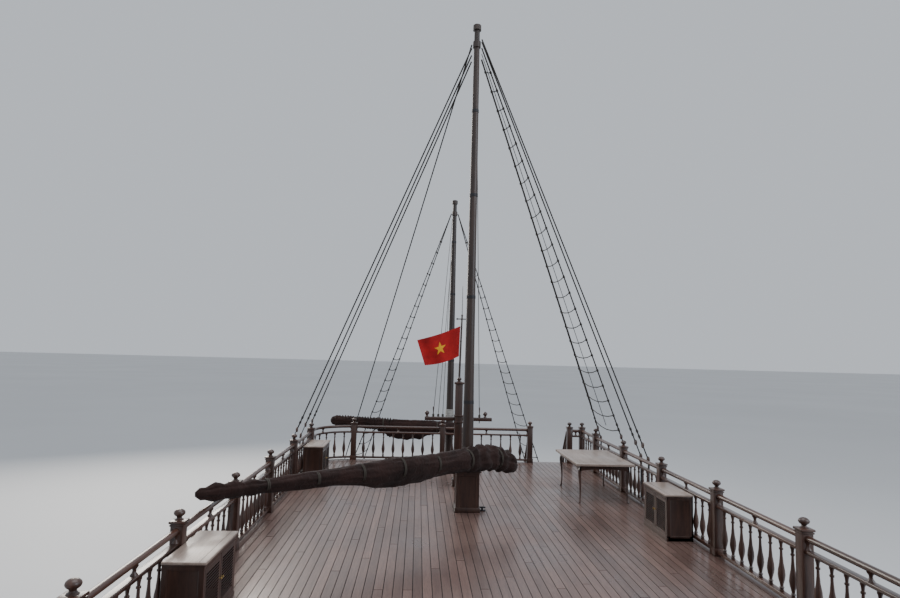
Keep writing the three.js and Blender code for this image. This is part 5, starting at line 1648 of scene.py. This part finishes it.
# %% The sheet and its ties
# (x, z) of the corners
HOIST_HIGH, HOIST_LOW = Vector((-0.055, 7.43)), Vector((-0.072, 6.75))
FLY_LOW, FLY_HIGH = Vector((-0.83, 6.53)), Vector((-1.02, 7.09))
bpy.ops.mesh.primitive_grid_add(x_subdivisions=54, y_subdivisions=36, size=1)
flag = bpy.context.object
for vertex in flag.data.vertices:
    u, v = 0.5 - vertex.co.x, vertex.co.y + 0.5
    high, low = HOIST_HIGH.lerp(FLY_HIGH, u), HOIST_LOW.lerp(FLY_LOW, u)
    spot = low.lerp(high, v)
    ripple = u ** 0.8 * (0.030 * math.sin(9.5 * u - 2.2 * v + 0.6) + 0.012 * math.sin(21 * u + 3.4 * v))
    droop = -0.045 * math.sin(math.pi * u) * (1 - 0.4 * v)
    vertex.co = (spot.x, POST_Y + ripple, spot.y + droop)
apply(flag, "SOLIDIFY", thickness=0.0015, offset=0)
finish("flag_bunting", [flag], bunting(), replaces=["flag"], smooth=80)
tapes = []
for v in (0.04, 0.5, 0.96):
    at = HOIST_LOW.lerp(HOIST_HIGH, v)
    staff_x = POST_X + (TOP_X - POST_X) * (at.y - STAFF_FOOT) / (STAFF_TOP - STAFF_FOOT)
    tapes += [hoop((staff_x, POST_Y, at.y), 0.024, 0.0035, 18),
              bar((staff_x - 0.022, POST_Y, at.y), (at.x - 0.004, POST_Y, at.y), 0.0035, sides=6)]
finish("flag_ties", tapes, ROPE_LINE)

# %% [markdown]
# ## Deckhouse and saloon
# The walls are panelled hardwood with rows of glazed windows. The frame's own walls already have the
# openings, so they are kept and given the wood. Windows could be built in place one by one, but one of
# each size is built flat, with casing, bars and glass, and then set up wherever it belongs.

# %% Finishes for the solids that stay
for node in frame["nodes"].values():
    if not node.hide_render:
        paint(node, WALL_EVEN)
for name in ("side_posts_port", "side_posts_starboard"):
    paint(frame["nodes"][name], POST_EVEN)

# %% One window
CASING, CASING_OUT, BAR_WIDE = 0.065, 0.018, 0.024


def window(width, low, high, bars=3, transom=0.7):
    """Casing, sill, glazing bars and glass in the plane y 0, facing -Y."""
    half, parts, under, over = width / 2, [], low - CASING, high + CASING
    for xa, xb, za, zb in ((-half - CASING, -half, under, over), (half, half + CASING, under, over),
                           (-half, half, high, over), (-half, half, under, low)):
        parts.append(plank((xa, -CASING_OUT, za), (xb, 0.001, zb), TRIM_WOOD))
    parts.append(plank((-half - 0.09, -0.045, under - 0.03), (half + 0.09, 0.001, under), TRIM_WOOD, 0.008))
    thin, mid = BAR_WIDE / 2, low + (high - low) * transom
    for x in (-half + width * i / bars for i in range(1, bars)):
        parts.append(plank((x - thin, 0.012, low), (x + thin, 0.044, high), TRIM_WOOD, 0.004, 1))
    parts.append(plank((-half, 0.010, mid - thin), (half, 0.046, mid + thin), TRIM_WOOD, 0.004, 1))
    parts.append(paint(board((-half, 0.025, low), (half, 0.031, high)), GLASS))
    return parts


def set_up(parts, spots):
    """Join parts into a pattern and copy it to (x, y, turn from -Y in degrees)."""
    pattern = only(*parts)
    bpy.ops.object.join()
    bpy.ops.object.transform_apply()
    copies = [placed(twin(pattern), (x, y, 0), math.radians(turn)) for x, y, turn in spots]
    scrap(pattern)
    return copies


# %% Sizes of the deckhouse
HOUSE_SIDE, HOUSE_AFT, HOUSE_FRONT = 2.95, -10.6, 5.3
WINDOW_STEP, WINDOW_WIDE = 1.56, 1.15
WINDOW_ROW = [1.6 - WINDOW_STEP * i for i in range(8)]
SILL, HEAD = 2.35, 3.30
PANEL_LOW, PANEL_HIGH = 1.74, 2.16
# height of the lower and the upper edge, how far it stands out
MOULDINGS = [(1.62, 1.72, 0.03), (2.19, 2.225, 0.02), (3.42, 3.47, 0.02), (3.72, 3.81, 0.04)]
# (aft end, forward end, lower edge) of the boards about a side door, and their upper edge
DOOR_CASING, CASING_TOP = [(2.80, 2.87, 1.61), (3.63, 3.70, 1.61), (2.87, 3.63, 3.56)], 3.63


# %% Panels and walls
def panelling(a, b, low, high, count, out=0.010):
    """Raised panels between two places on a wall that faces -Y."""
    parts, step = [], (b - a) / count
    for i in range(count):
        panel = board((a + step * i + 0.05, -out, low), (a + step * (i + 1) - 0.05, 0.002, high))
        pick(panel, lambda place, way: way.y < -0.9)
        bpy.ops.mesh.inset(thickness=0.035)
        bpy.ops.transform.translate(value=(0, -0.010, 0))
        done()
        parts.append(panel)
    return parts


for side, sign in SIDES:
    turn = 90 * sign
    spots = [(sign * HOUSE_SIDE, y, turn) for y in WINDOW_ROW]
    parts = set_up(window(WINDOW_WIDE, SILL, HEAD), spots)
    parts += set_up(panelling(-0.68, 0.68, PANEL_LOW, PANEL_HIGH, 2), spots)
    pilaster = [easy(board((-0.05, -0.022, 1.62), (0.05, 0.001, 3.78)), 0.006),
                easy(board((-0.065, -0.030, 3.62), (0.065, 0.001, 3.70)), 0.006)]
    parts += set_up(pilaster, [(sign * HOUSE_SIDE, 2.38 - WINDOW_STEP * i, turn) for i in range(9)])
    for low, high, out in MOULDINGS:
        rail = between(sign, HOUSE_SIDE, HOUSE_SIDE + out, HOUSE_AFT + 0.01, 2.84, low, high)
        parts.append(paint(easy(rail, 0.006), TRIM_WOOD))
    for ya, yb, low in DOOR_CASING:
        casing = between(sign, HOUSE_SIDE - 0.002, HOUSE_SIDE + 0.02, ya, yb, low, CASING_TOP)
        parts.append(paint(easy(casing, 0.006), TRIM_WOOD))
    finish(f"house_joinery_{side}", parts, WALL_WOOD)

parts = []
for xa, xb, bars in ((-2.35, -1.15, 3), (1.15, 2.00, 2)):
    wide, spots = xb - xa, [((xa + xb) / 2, HOUSE_FRONT, 180)]
    parts += set_up(window(wide, SILL, HEAD, bars), spots)
    parts += set_up(panelling(-wide / 2, wide / 2, PANEL_LOW, PANEL_HIGH, 2), spots)
for xa, xb, za, zb in ((-0.80, -0.72, 1.61, 3.64), (0.72, 0.80, 1.61, 3.64), (-0.72, 0.72, 3.56, 3.64)):
    parts.append(plank((xa, HOUSE_FRONT - 0.001, za), (xb, HOUSE_FRONT + 0.025, zb), TRIM_WOOD))
finish("house_front_joinery", parts, WALL_WOOD)


# %% Doors
PULL_X, PULL_Z, FRONT_FACE = 0.08, 2.35, 5.292
PULL = [(0, 0.032), (0.006, 0.032), (0.010, 0.022), (0.036, 0.024), (0.052, 0.031), (0.062, 0.029),
        (0.068, 0.014)]


def door_dress(node, axis, middle, faces, light, pulls=()):
    """Glass, mouldings, a raised lower panel and brass pulls for one leaf."""
    def slab_of(a, b, za, zb, near, far):
        if axis == 0:
            return board((near, a, za), (far, b, zb))
        return board((a, near, za), (b, far, zb))

    left, right = light
    parts = [paint(slab_of(left, right, 2.5, 3.35, middle - 0.004, middle + 0.004), GLASS)]
    for face, out in faces:
        for a, b, za, zb in ((left - 0.03, left, 2.47, 3.38), (right, right + 0.03, 2.47, 3.38),
                             (left, right, 2.47, 2.5), (left, right, 3.35, 3.38),
                             (left + 0.01, right - 0.01, 1.80, 2.30)):
            parts.append(paint(easy(slab_of(a, b, za, zb, face, face + out), 0.0025, 1), TRIM_WOOD))
    for z in (2.79, 3.07):
        glazing_bar = slab_of(left, right, z - 0.011, z + 0.011, middle - 0.012, middle + 0.012)
        parts.append(paint(glazing_bar, TRIM_WOOD))
    for x, y, out in pulls:
        parts.append(paint(placed(turned(PULL, 18), (x, y, PULL_Z), -out * math.pi / 2, "X"), BRASS))
    finish(f"{node}_dress", parts, TRIM_WOOD, body=node)


for side, sign in SIDES:
    low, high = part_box(f"side_door_{side}")
    face = (low.x, -0.006) if sign > 0 else (high.x, 0.006)
    door_dress(f"side_door_{side}", 0, (low.x + high.x) / 2, [face], (3.02, 3.48))
    back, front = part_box(f"front_door_{side}")[0].y, FRONT_FACE
    light = sorted((sign * 0.15, sign * 0.562))
    pulls = [(sign * PULL_X, back, -1), (sign * PULL_X, front, 1)]
    door_dress(f"front_door_{side}", 1, (back + front) / 2, [(front, 0.004), (back, -0.006)], light, pulls)

# %% Saloon
SALOON_FRONT, SALOON_AFT = HOUSE_AFT, -14.07
spots = [(x, SALOON_FRONT, 180) for x in (-2.1, -0.7, 0.7, 2.1)]
parts = set_up(window(0.90, 4.25, 4.85, transom=0.62), spots)
parts += set_up(panelling(-0.62, 0.62, 3.98, 4.12, 1), spots[:2])
parts += set_up(window(0.84, 3.65, 4.65, bars=2), [(x, SALOON_AFT, 0) for x in (-1.8, -0.6, 0.6, 1.8)])
side_window = window(1.0, 3.75, 4.65)
spots = []
for y, ya, yb in ((-11.5, -12.0, -10.66), (-13.1, -14.01, -13.0)):
    xa, xb, x = (hull_at(at)[0] - 0.14 for at in (ya, yb, y))
    lean = math.degrees(math.atan2(xb - xa, yb - ya))
    spots += [(x + 0.004, y, 90 - lean), (-x - 0.004, y, -90 + lean)]
parts += set_up(side_window, spots)
for z, out in ((4.98, 0.05), (3.48, 0.02)):
    parts.append(plank((-2.74, SALOON_AFT - out, z), (2.74, SALOON_AFT + 0.001, z + 0.07), TRIM_WOOD))
finish("saloon_joinery", parts, WALL_WOOD)

# %% [markdown]
# ## Carriers, stairs and steps
# Posts and a long beam carry the sun deck outside the walls, curved brackets stiffen the posts, and a
# half-round moulding hides the deck's edge. The stairs could be one stepped block, but they get
# separate treads with rounded noses, because a foot looks for that shadow line.

# %% Brackets and mouldings
def bracket(reach=0.34, drop=0.34, half=0.022, steps=8):
    """A knee towards +Y under a beam at z 0, with a quarter-round edge."""
    turns = [math.pi / 2 * i / steps for i in range(steps + 1)]
    arc = [(0.03 + reach * (1 - math.sin(a)), -0.03 - (drop - 0.03) * (1 - math.cos(a))) for a in turns]
    return side_shape([(0, 0), (reach + 0.03, 0), *arc, (0, -drop)], half)


BEAM_X, BEAM_UNDER = SUN_SIDE - 0.06 - 0.0003 - 0.05, SUN_TOP - 0.0803 - 0.15
POST_ROWS = [row_y(k) for k in (-2.8, -2, -1, 0, 1, 2, 3, 4)]
for side, sign in SIDES:
    knee, parts = moved(easy(bracket(), 0.004, 1), 0, 0.05), []
    for y in POST_ROWS:
        for way in (1, -1):
            if -10.3 < y + way * 0.4 < 4.5:
                parts.append(placed(twin(knee), (sign * BEAM_X, y, BEAM_UNDER), 0 if way > 0 else math.pi))
        parts.append(easy(about(sign * BEAM_X, y, BEAM_UNDER - 0.40, BEAM_UNDER - 0.36, 0.125), 0.006))
        base = hull_at(y)[3] + 0.075
        parts.append(easy(about(sign * BEAM_X, y, base, base + 0.09, 0.13), 0.008))
    scrap(knee)
    edge_x, end_y = sign * (SUN_SIDE + 0.004), corner.y if side == "port" else SUN_FRONT
    for z, r in ((SUN_TOP - 0.035, 0.020), (SUN_TOP - 0.225, 0.014)):
        parts.append(paint(bar((edge_x, SUN_AFT + 0.02, z), (edge_x, end_y, z), r), RAIL_LONG))
    finish(f"side_brackets_{side}", parts, RAIL_DARK)

# %% Stairs
STAIR_X0, STAIR_X1, STAIR_RUN, STAIR_STEPS = 2.14, 3.24, 1.7, 9
CLEAR = 0.0003
stair_top = SUN_FRONT + CLEAR
stair_foot = stair_top + STAIR_RUN
rise, going = (SUN_TOP - MAIN_TOP) / STAIR_STEPS, STAIR_RUN / (STAIR_STEPS - 1)


def fall(x, share, lift):
    """A place on a handrail, some share of the way down the stairs."""
    down = share * (SUN_TOP - MAIN_TOP)
    return Vector((x, stair_top + 0.04 + share * (STAIR_RUN + 0.01), SUN_TOP + lift - down))


parts = []
for i in range(1, STAIR_STEPS):
    z, y = SUN_TOP - i * rise, stair_top + (i - 1) * going
    parts.append(plank((STAIR_X0 + 0.045, y + 0.001, z - 0.04), (STAIR_X1 - 0.045, y + going + 0.03, z),
                       TRIM_WOOD, 0.012, 3))
stair_bar = turned([(-0.72, 0.020), (-0.66, 0.020), (-0.64, 0.014), (-0.60, 0.024), (-0.40, 0.028),
                    (-0.20, 0.016), (-0.06, 0.014), (0, 0.020)], 10)
for x in (STAIR_X0 + 0.025, STAIR_X1 - 0.025):
    deck, end = MAIN_TOP + CLEAR, stair_foot + 0.13
    outline = [(stair_top, SUN_TOP - 0.02), (stair_top, SUN_TOP - 0.42), (stair_foot - 0.15, deck),
               (end, deck), (end, MAIN_TOP + 0.24)]
    parts.append(easy(moved(side_shape(outline, 0.025), x), 0.006))
    newel_y = stair_foot + 0.05
    parts.append(easy(about(x, newel_y, deck, MAIN_TOP + 1.09, 0.11), 0.008))
    parts.append(easy(about(x, newel_y, MAIN_TOP + 1.07, MAIN_TOP + 1.10, 0.14), 0.008))
    parts.append(turned([(z + MAIN_TOP + 0.12, r) for z, r in FINIAL], 18, at=(x, newel_y, 0)))
    parts.append(bar(fall(x, 0.015, 0.85), fall(x, 1, 0.85), 0.035, sides=16))
    parts.append(bar(fall(x, 0.015, 0.60), fall(x, 1, 0.60), 0.026, sides=14))
    parts += [twin(stair_bar, fall(x, (i + 0.6) / 7.2, 0.60)) for i in range(7)]
scrap(stair_bar)
finish("stairs_joined", parts, RAIL_DARK, replaces=["stairs"])

# %% Poop steps
STEP_X0, STEP_X1, STEP_COUNT, STEP_GOING, STEP_BACK, CHEEK = 1.1, 2.2, 5, 0.26, -10.555, 0.035
parts, step_rise, deck = [], (POOP_TOP - SUN_TOP) / STEP_COUNT, SUN_TOP + CLEAR
for i in range(1, STEP_COUNT):
    y, z = STEP_BACK + i * STEP_GOING, POOP_TOP - i * step_rise
    parts.append(plank((STEP_X0, y - STEP_GOING, z - 0.035), (STEP_X1, y, z), TRIM_WOOD, 0.010, 3))
    parts.append(board((STEP_X0 + 0.03, y - 0.045, deck), (STEP_X1 - 0.03, y - 0.025, z - 0.034)))
for x in (STEP_X0, STEP_X1 - CHEEK):
    outline = [(STEP_BACK, deck)]
    for i in range(STEP_COUNT - 1, 0, -1):
        y, z = STEP_BACK + i * STEP_GOING - 0.02, SUN_TOP + (STEP_COUNT - i) * step_rise - 0.036
        outline += [(y, max(z - step_rise, deck)), (y, z)]
    outline.append((STEP_BACK, outline[-1][1]))
    parts.append(moved(side_shape(outline, CHEEK / 2), x + CHEEK / 2))
finish("poop_steps_joined", parts, WALL_WOOD, replaces=["poop_steps"])

# %% [markdown]
# ## Foredeck and bulwark
# Stanchions stiffen the bulwark on the inside. Forward of the well the bow is solid, so its top is laid
# with short boards between the cap rails, and a low breast beam closes the well. A bare top could pass
# from afar, but from the raised deck a person looks straight down on it.

# %% Stanchions and bow boards
for side, sign in SIDES:
    parts = []
    for y in places(-9.6, 11.2, 19):
        b, _, _, s = hull_at(y)
        parts.append(easy(about(sign * (b - BULWARK - 0.032), y, MAIN_TOP, s - 0.003, 0.06, 0.09), 0.01))
    finish(f"stanchions_{side}", parts, TRIM_WOOD)

bow_line = straightened([(hull_at(y)[0] - 0.125, y) for y in places(WELL_FORE + 0.01, 12.36, 6)])
BOW_TOP = 2.665
bow_boards = planking((-1.6, bow_line[0][1]), (1.6, bow_line[-1][1]), BOW_TOP, WIDE_BOARD, length=3, seed=9)
trim_to(bow_boards, bow_line)
bow_bed = paint(bed(bow_line, 2.60, BOW_TOP - RAISED), CAULK)
reach = hull_at(WELL_FORE)[0] - BULWARK - 0.01
beam = plank((-reach, WELL_FORE - 0.09, 2.50), (reach, WELL_FORE + 0.07, 2.70), TRIM_WOOD, 0.014)
finish("bow_boards", [bow_boards, bow_bed, beam], DECK_WOOD)

# %% [markdown]
# ## Windlass and anchor
# The windlass has a wooden barrel with whelps, a ratchet rim in the middle and a warping head outside
# each cheek. The barrel could be one plain drum, but the whelps are what grips the chain. The parts are
# turned on one axis and then laid across the ship.

# %% Windlass
WIND_Y, WIND_Z = 10.45, 2.05
# (distance from the middle, radius)
WARPING_HEAD = [(0.425, 0.085), (0.43, 0.128), (0.445, 0.13), (0.46, 0.095), (0.49, 0.088), (0.508, 0.118),
                (0.52, 0.116), (0.522, 0.06)]
lay_across = pose((0, WIND_Y, WIND_Z), math.pi / 2, "Y")


def across(piece, material):
    """Lay a turned part across the ship on the windlass's axis."""
    piece.matrix_world = lay_across @ piece.matrix_world
    return paint(piece, material)


parts = []
for sign in (-1, 1):
    x = sign * 0.375
    deck = MAIN_TOP + CLEAR
    cheek = about(x, WIND_Y, deck, WIND_Z + 0.20, 0.09, 0.26)
    pick(cheek, lambda place, way: abs(way.x) > 0.9 and place.z > WIND_Z + 0.15, "EDGE")
    bpy.ops.mesh.bevel(offset=0.10, segments=6)
    done()
    sole = about(x, WIND_Y, deck, MAIN_TOP + 0.05, 0.13, 0.34)
    parts += [paint(easy(cheek, 0.006), TRIM_WOOD), paint(easy(sole, 0.01), TRIM_WOOD)]
    head = turned(WARPING_HEAD, 24)
    if sign < 0:
        head.data.transform(Matrix.Scale(-1, 4, (0, 0, 1)))
        outward(head)
    parts.append(across(head, IRON))
parts.append(across(turned([(-0.425, 0.05), (-0.42, 0.095), (0.42, 0.095), (0.425, 0.05)], 24), TRIM_WOOD))
whelp = easy(board((0.088, -0.016, -0.31), (0.128, 0.016, -0.05)), 0.008)
for i in range(8):
    for shift in (0, 0.36):
        parts.append(across(twin(whelp, (0, 0, shift), math.pi / 4 * i), TRIM_WOOD))
scrap(whelp)
rim = turned([(-0.03, 0.10), (-0.03, 0.126), (0.03, 0.126), (0.03, 0.10)], 32)
# degrees of the rim that a tooth takes
TOOTH = 11.25
pick(rim, lambda place, way: abs(way.z) < 0.1 and math.degrees(math.atan2(place.y, place.x)) // TOOTH % 2)
bpy.ops.mesh.extrude_region_shrink_fatten(TRANSFORM_OT_shrink_fatten={"value": 0.006})
done()
parts.append(across(rim, IRON))
finish("windlass_joined", parts, TRIM_WOOD, replaces=["windlass"])

# %% Anchor and its chain
ANCHOR_Y, ANCHOR_Z = 11.05, 1.67
# (along, up) from the anchor's middle
FLUKE = [(-0.12, -0.064), (0.10, -0.068), (0.52, -0.068), (0.56, 0), (0.30, -0.005), (-0.06, -0.032)]
shank = bar((0, ANCHOR_Y - 0.47, ANCHOR_Z), (0, ANCHOR_Y + 0.54, ANCHOR_Z), 0.026, 0.038, 16)
crown = easy(about(0, ANCHOR_Y + 0.515, ANCHOR_Z - 0.035, ANCHOR_Z + 0.035, 0.40, 0.09), 0.016)
stock = bar((-0.33, ANCHOR_Y + 0.52, ANCHOR_Z), (0.33, ANCHOR_Y + 0.52, ANCHOR_Z), 0.030, sides=16)
parts = [shank, crown, stock]
for sign in (-1, 1):
    button = turned([(0, 0.02), (0.005, 0.038), (0.025, 0.038), (0.03, 0.02)], 14)
    parts.append(placed(button, (sign * 0.33, ANCHOR_Y + 0.52, ANCHOR_Z), -sign * math.pi / 2, "Y"))
    fluke = side_shape([(ANCHOR_Y + y, ANCHOR_Z + z) for y, z in FLUKE], 0.045)
    parts.append(easy(moved(fluke, sign * 0.255), 0.008))
parts.append(hoop((0, ANCHOR_Y - 0.47, ANCHOR_Z), 0.038, 0.011, 20, (0, math.pi / 2, 0), 8))
link = Matrix.Diagonal((1, 1.5, 1, 1))
start, end = Vector((0, ANCHOR_Y - 0.49, ANCHOR_Z + 0.03)), Vector((0, WIND_Y + 0.115, WIND_Z - 0.02))
lean = (end - start).to_track_quat("Y", "Z").to_matrix().to_4x4()
for i in range(7):
    ring, quarter = hoop((0, 0, 0), 0.026, 0.008, 14), Matrix.Rotation(math.pi / 2 * (i % 2), 4, "Y")
    ring.matrix_world = Matrix.Translation(start.lerp(end, i / 6)) @ lean @ quarter @ link
    parts.append(ring)
finish("anchor_and_chain", parts, IRON, replaces=["anchor"])

# %% [markdown]
# ## Propeller and rudder
# Both lie under water and turn. Flat plates at one angle could serve as blades, but they look like a
# fan, so each blade is a grid that is twisted, more at the root than at the tip, and rounded off.

# %% Propeller
PROP_Y, PROP_Z, PROP_R = -11.45, -0.79, 0.42
# (share of the length, half-width, pitch in degrees)
BLADE = [(0.0, 0.070, 52), (0.2, 0.115, 45), (0.45, 0.155, 37), (0.7, 0.160, 30), (0.88, 0.120, 27),
         (1.0, 0.035, 25)]
bpy.ops.mesh.primitive_grid_add(x_subdivisions=8, y_subdivisions=16, size=1)
blade = bpy.context.object
for vertex in blade.data.vertices:
    side_share, share = vertex.co.x * 2, vertex.co.y + 0.5
    half = table_value([(a, w) for a, w, _ in BLADE], share)
    pitch = math.radians(table_value([(a, p) for a, _, p in BLADE], share))
    r = 0.045 + (PROP_R - 0.048) * share
    out = side_share * half
    vertex.co = (out * math.cos(pitch), out * math.sin(pitch), r - 0.04 * side_share ** 2 * share)
apply(blade, "SOLIDIFY", thickness=0.020, offset=0)
apply(blade, "SUBSURF", levels=1)
blades = [placed(twin(blade), (0, PROP_Y, PROP_Z), i * 2 * math.pi / 3, "Y") for i in range(3)]
scrap(blade)
hub = turned([(-0.44, 0.05), (-0.43, 0.088), (-0.20, 0.078), (-0.08, 0.072), (0.05, 0.062), (0.07, 0.046),
              (0.088, 0.02)], 24)
placed(hub, (0, PROP_Y, PROP_Z), math.pi / 2, "X")
shaft = bar((0, -11.0003, PROP_Z), (0, PROP_Y + 0.40, PROP_Z), 0.05, sides=20)
finish("propeller_cast", [hub, shaft, *blades], BRONZE, body="propeller", replaces=["propeller"],
       smooth=50)

# %% Rudder
RUDDER_Y = -12.5
# (along from the stock, height)
RUDDER = [(-0.90, -1.24), (-0.95, -0.72), (-0.95, -0.15), (-0.50, -0.185), (0.26, -0.25), (0.26, -1.24)]
blade = side_shape([(RUDDER_Y + y, z) for y, z in RUDDER], 0.04)
parts = [paint(easy(blade, 0.018, 3), BOTTOM),
         paint(bar((0, RUDDER_Y, -1.2997), (0, RUDDER_Y, -0.0603), 0.07, sides=24), BRONZE)]
for z in (-1.12, -0.70, -0.33):
    parts.append(plank((-0.047, RUDDER_Y - 0.52, z - 0.035), (0.047, RUDDER_Y + 0.20, z + 0.035), BRONZE))
    for y in (RUDDER_Y + at for at in (-0.45, -0.30, -0.15, 0.13)):
        parts.append(paint(bar((-0.052, y, z), (0.052, y, z), 0.012, sides=8), BRONZE))
finish("rudder_strapped", parts, BOTTOM, body="rudder", replaces=["rudder"])

# %% [markdown]
# ## Small things on the masts
# Pale rope is wrapped round the foremast above the sail, with one short end hanging down, and a small
# cleat stands at the foot of the main mast. The rope could be one helix, but rings that lean a little
# look as uneven as turns laid by hand.

# %% Wrap and cleat
wraps, mast_y = [], FORE_MAST["y"]
for i in range(9):
    z = 4.93 + i * 0.026
    radius = FORE_MAST["low"] - 0.008 * (z - MAIN_TOP) + 0.012
    slack = (0.03 * math.sin(i * 2.1), 0.04 * math.cos(i), 0)
    wraps.append(hoop((0, mast_y, z), radius, 0.0135, 36, slack, 8))
tail = [(-0.135, mast_y - 0.03, 4.94), (-0.15, mast_y - 0.05, 4.86), (-0.145, mast_y - 0.045, 4.74),
        (-0.148, mast_y - 0.04, 4.66)]
wraps += [bar(a, b, 0.012, sides=10) for a, b in zip(tail, tail[1:])]
finish("foremast_wrap", wraps, ROPE_PALE)

foot = plank((0.235, 0.30, SUN_TOP + 0.0002), (0.345, 0.36, SUN_TOP + 0.02), IRON, 0.005)
horn = plank((0.225, 0.315, SUN_TOP + 0.055), (0.355, 0.345, SUN_TOP + 0.080), IRON, 0.010)
neck = about(0.29, 0.33, SUN_TOP + 0.01, SUN_TOP + 0.065, 0.034)
finish("foot_cleat", [foot, horn, neck], IRON)
